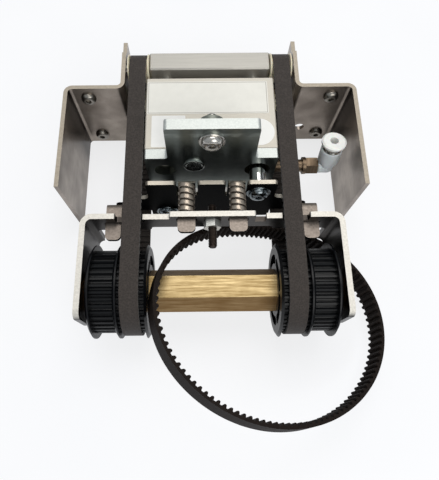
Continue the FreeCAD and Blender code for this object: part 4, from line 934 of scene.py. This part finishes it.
class LIFTUNIT_OT_fitting(Operator):
    """Finish the push-in air fitting"""
    bl_idname = "lift_unit.fitting"
    bl_label = "Air Fitting"

    def execute(self, context):
        worn = plated_nickel("worn_nickel_plate", "#84735F", "#53463A", 0.32)
        paint(worn, "port_extension", "fitting_stud")
        paint(plated_nickel("bright_nickel_plate", "#DAD8D2", "#B4B1AA", 0.1), "fitting_ring")
        self.elbow(moulded_plastic("grey_polyester", colours().fitting, 0.34))
        paint(moulded_plastic("white_acetal", linear("#F8F8F4"), 0.26), "release_collar")
        return {"FINISHED"}

    def elbow(self, material):
        """Moulds the elbow in one: a barrel on the stud, a round knee and the wider tube socket."""
        pivot = Vector(JOINTS["elbow_swivel"]["pos_m"])
        ring_low, ring_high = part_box("fitting_ring")
        upright = ((ring_low + ring_high) / 2 - pivot).to_track_quat("Y", "Z").to_matrix().to_4x4()
        across = Matrix.Rotation(-math.pi / 2, 4, "Z")
        bodies = []
        for name, rings, turn in zip(("socket", "tail", "seat"), self.profiles(), (upright, across, across)):
            turned = [(height, circle(r)) for height, r in rings]
            mesh = turned_mesh("elbow_" + name, turned, sizes().round_steps)
            mesh.transform(Matrix.Translation(pivot) @ turn)
            bodies.append(bpy.data.objects.new("elbow_" + name, mesh))
            bpy.context.scene.collection.objects.link(bodies[-1])
        for tool, operation in zip(bodies[1:], ("UNION", "DIFFERENCE")):
            join = bodies[0].modifiers.new(operation, "BOOLEAN")
            join.object = tool
            join.operation = operation
            join.solver = "EXACT"
        scene_state = bpy.context.evaluated_depsgraph_get()
        mesh = bpy.data.meshes.new_from_object(bodies[0].evaluated_get(scene_state))
        for body in bodies:
            bpy.data.objects.remove(body)
        mesh.set_sharp_from_angle(angle=SHARP_ANGLE)
        piece = mesh_object("elbow_moulding", mesh, "elbow", material)
        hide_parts("fitting_elbow")

    def profiles(self):
        """Heights and radii of the elbow's turned shapes: socket with knee, barrel, and the stud's seat."""
        size = {key: value * MM for key, value in ELBOW.items()}
        reach, socket, shoulder, soft = (size[key] for key in ("reach", "socket", "shoulder", "soft"))
        knee, start, barrel = (size[key] for key in ("knee", "start", "barrel"))
        profile = [(reach - size["pocket"], size["stem"]), (reach, size["stem"]), (reach, socket - soft),
                   (reach - soft, socket), (shoulder + soft, socket), (shoulder, socket - 0.3 * soft),
                   (shoulder - soft, socket - soft), (0.2 * knee, 0.98 * knee)]
        for degrees in range(0, 90, 10):
            swing = math.radians(degrees)
            profile.append((-knee * math.sin(swing), knee * math.cos(swing)))
        tail = [(-start, barrel - soft), (soft - start, barrel), (0.1 * knee, barrel),
                (0.4 * knee, 0.8 * barrel)]
        seat = [(-2 * start, size["spigot"]), (size["sink"] - start, size["spigot"])]
        return profile, tail, seat


class LIFTUNIT_OT_stage(Operator):
    """Set up the floor, the soft light and the camera at the photograph's angle"""
    bl_idname = "lift_unit.stage"
    bl_label = "Stage"

    def execute(self, context):
        settings = context.scene.lift_unit_stage
        self.floor(settings)
        self.sky(context.scene, settings)
        self.lamps(settings)
        self.camera(context.scene, settings)
        context.scene.view_settings.view_transform = "Standard"
        return {"FINISHED"}

    def floor(self, settings):
        """Pale table, whitened by a share for the camera and for mirrors, so that it keeps some shadow."""
        z = CAD_BOX[0].z
        corners = [(x * TABLE_HALF, y * TABLE_HALF, z) for x, y in ((-1, -1), (1, -1), (1, 1), (-1, 1))]
        mesh = bpy.data.meshes.new("table")
        mesh.from_pydata(corners, [], [(0, 1, 2, 3)])
        table = bpy.data.objects.new("table", mesh)
        bpy.context.scene.collection.objects.link(table)
        material, tree, shader, place = finish("painted_table", Roughness=0.6, Specular_IOR_Level=0.2)
        patches = clouds(tree, place, width=60, low=0.3, high=0.7)
        tone = layered(tree, linear("#EEF1F9"), (patches, 1.0, linear("#E7EBF5")))
        tree.links.new(tone, shader.inputs["Base Color"])
        path = add(tree, "ShaderNodeLightPath").outputs
        mirrored = add(tree, "ShaderNodeMath", {0: path["Is Glossy Ray"], 1: path["Is Transmission Ray"]},
                       operation="MAXIMUM")
        soft = add(tree, "ShaderNodeMath", {0: mirrored.outputs[0], 1: settings.mirrored_white},
                   operation="MULTIPLY")
        seen = add(tree, "ShaderNodeMath", {0: path["Is Camera Ray"], 1: settings.seen_white},
                   operation="MULTIPLY")
        share = add(tree, "ShaderNodeMath", {0: seen.outputs[0], 1: soft.outputs[0]}, operation="MAXIMUM")
        white = add(tree, "ShaderNodeEmission", {"Color": WHITE, "Strength": 1.0})
        both = add(tree, "ShaderNodeMixShader", {0: share.outputs[0], 1: shader.outputs[0],
                                                 2: white.outputs[0]})
        tree.links.new(both.outputs[0], tree.nodes["Material Output"].inputs["Surface"])
        mesh.materials.append(material)

    def sky(self, scene, settings):
        """Bright above, a little dimmer towards the horizon, as in a room with a lit ceiling."""
        world = bpy.data.worlds.new("room")
        world.use_nodes = True
        tree = world.node_tree
        place = add(tree, "ShaderNodeTexCoord").outputs
        height = add(tree, "ShaderNodeSeparateXYZ", {0: place["Generated"]}).outputs["Z"]
        ramp = add(tree, "ShaderNodeMapRange", {"Value": height, "From Min": 0.0, "From Max": 0.9,
                                                "To Min": 0.8, "To Max": 1.0})
        tint = layered(tree, BLACK, (ramp.outputs[0], 1.0, SKY_TINT))
        tree.links.new(tint, tree.nodes["Background"].inputs["Color"])
        tree.nodes["Background"].inputs["Strength"].default_value = settings.sky
        scene.world = world

    def lamps(self, settings):
        """A large soft lamp above, a little behind and to the right, and a weaker one on the near side."""
        for name, (side, place, radiance) in LAMPS.items():
            light = bpy.data.lights.new(name, "AREA")
            light.shape = "SQUARE"
            light.size = side
            light.color = LAMP_TINT
            light.energy = getattr(settings, radiance) * math.pi * side * side
            lamp = bpy.data.objects.new(name, light)
            lamp.location = place
            lamp.rotation_euler = (Vector(LAMP_AIM) - lamp.location).to_track_quat("-Z", "Y").to_euler()
            bpy.context.scene.collection.objects.link(lamp)

    def camera(self, scene, settings):
        """The photograph's view: high over the near side, a short lens."""
        data = bpy.data.cameras.new("photo_view")
        data.sensor_width = 36.0
        data.lens = settings.focal
        data.shift_x = settings.shift
        data.clip_start = 0.01
        camera = bpy.data.objects.new("photo_view", data)
        camera.location = settings.eye
        camera.rotation_euler = (settings.tilt, 0.0, settings.swing)
        scene.collection.objects.link(camera)
        scene.camera = camera


class LIFTUNIT_PT_panel(Panel):
    """Lists the parts of the lift unit"""
    bl_idname = "LIFTUNIT_PT_panel"
    bl_label = "Lift Unit"
    bl_space_type = "VIEW_3D"
    bl_region_type = "UI"
    bl_category = "Lift Unit"

    def draw(self, context):
        for operator in OPERATORS:
            self.layout.operator(operator.bl_idname)
        for group in GROUPS:
            settings = getattr(context.scene, group)
            for name in settings.__annotations__:
                self.layout.prop(settings, name)


GROUPS = {"lift_unit_colours": LiftUnitColours, "lift_unit_sizes": LiftUnitSizes,
          "lift_unit_stage": LiftUnitStage}
OPERATORS = (LIFTUNIT_OT_stage, LIFTUNIT_OT_brackets, LIFTUNIT_OT_block, LIFTUNIT_OT_carriage,
             LIFTUNIT_OT_springs, LIFTUNIT_OT_screws, LIFTUNIT_OT_belts, LIFTUNIT_OT_shaft, LIFTUNIT_OT_yoke,
             LIFTUNIT_OT_fitting)


def register():
    for kind in (*GROUPS.values(), *OPERATORS, LIFTUNIT_PT_panel):
        bpy.utils.register_class(kind)
    for name, kind in GROUPS.items():
        setattr(bpy.types.Scene, name, PointerProperty(type=kind))


def unregister():
    for name in GROUPS:
        delattr(bpy.types.Scene, name)
    for kind in reversed((*GROUPS.values(), *OPERATORS, LIFTUNIT_PT_panel)):
        bpy.utils.unregister_class(kind)


def main():
    register()
    for operator in OPERATORS:
        group, name = operator.bl_idname.split(".")
        getattr(getattr(bpy.ops, group), name)()
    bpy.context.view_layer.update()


if __name__ == "__main__":
    main()
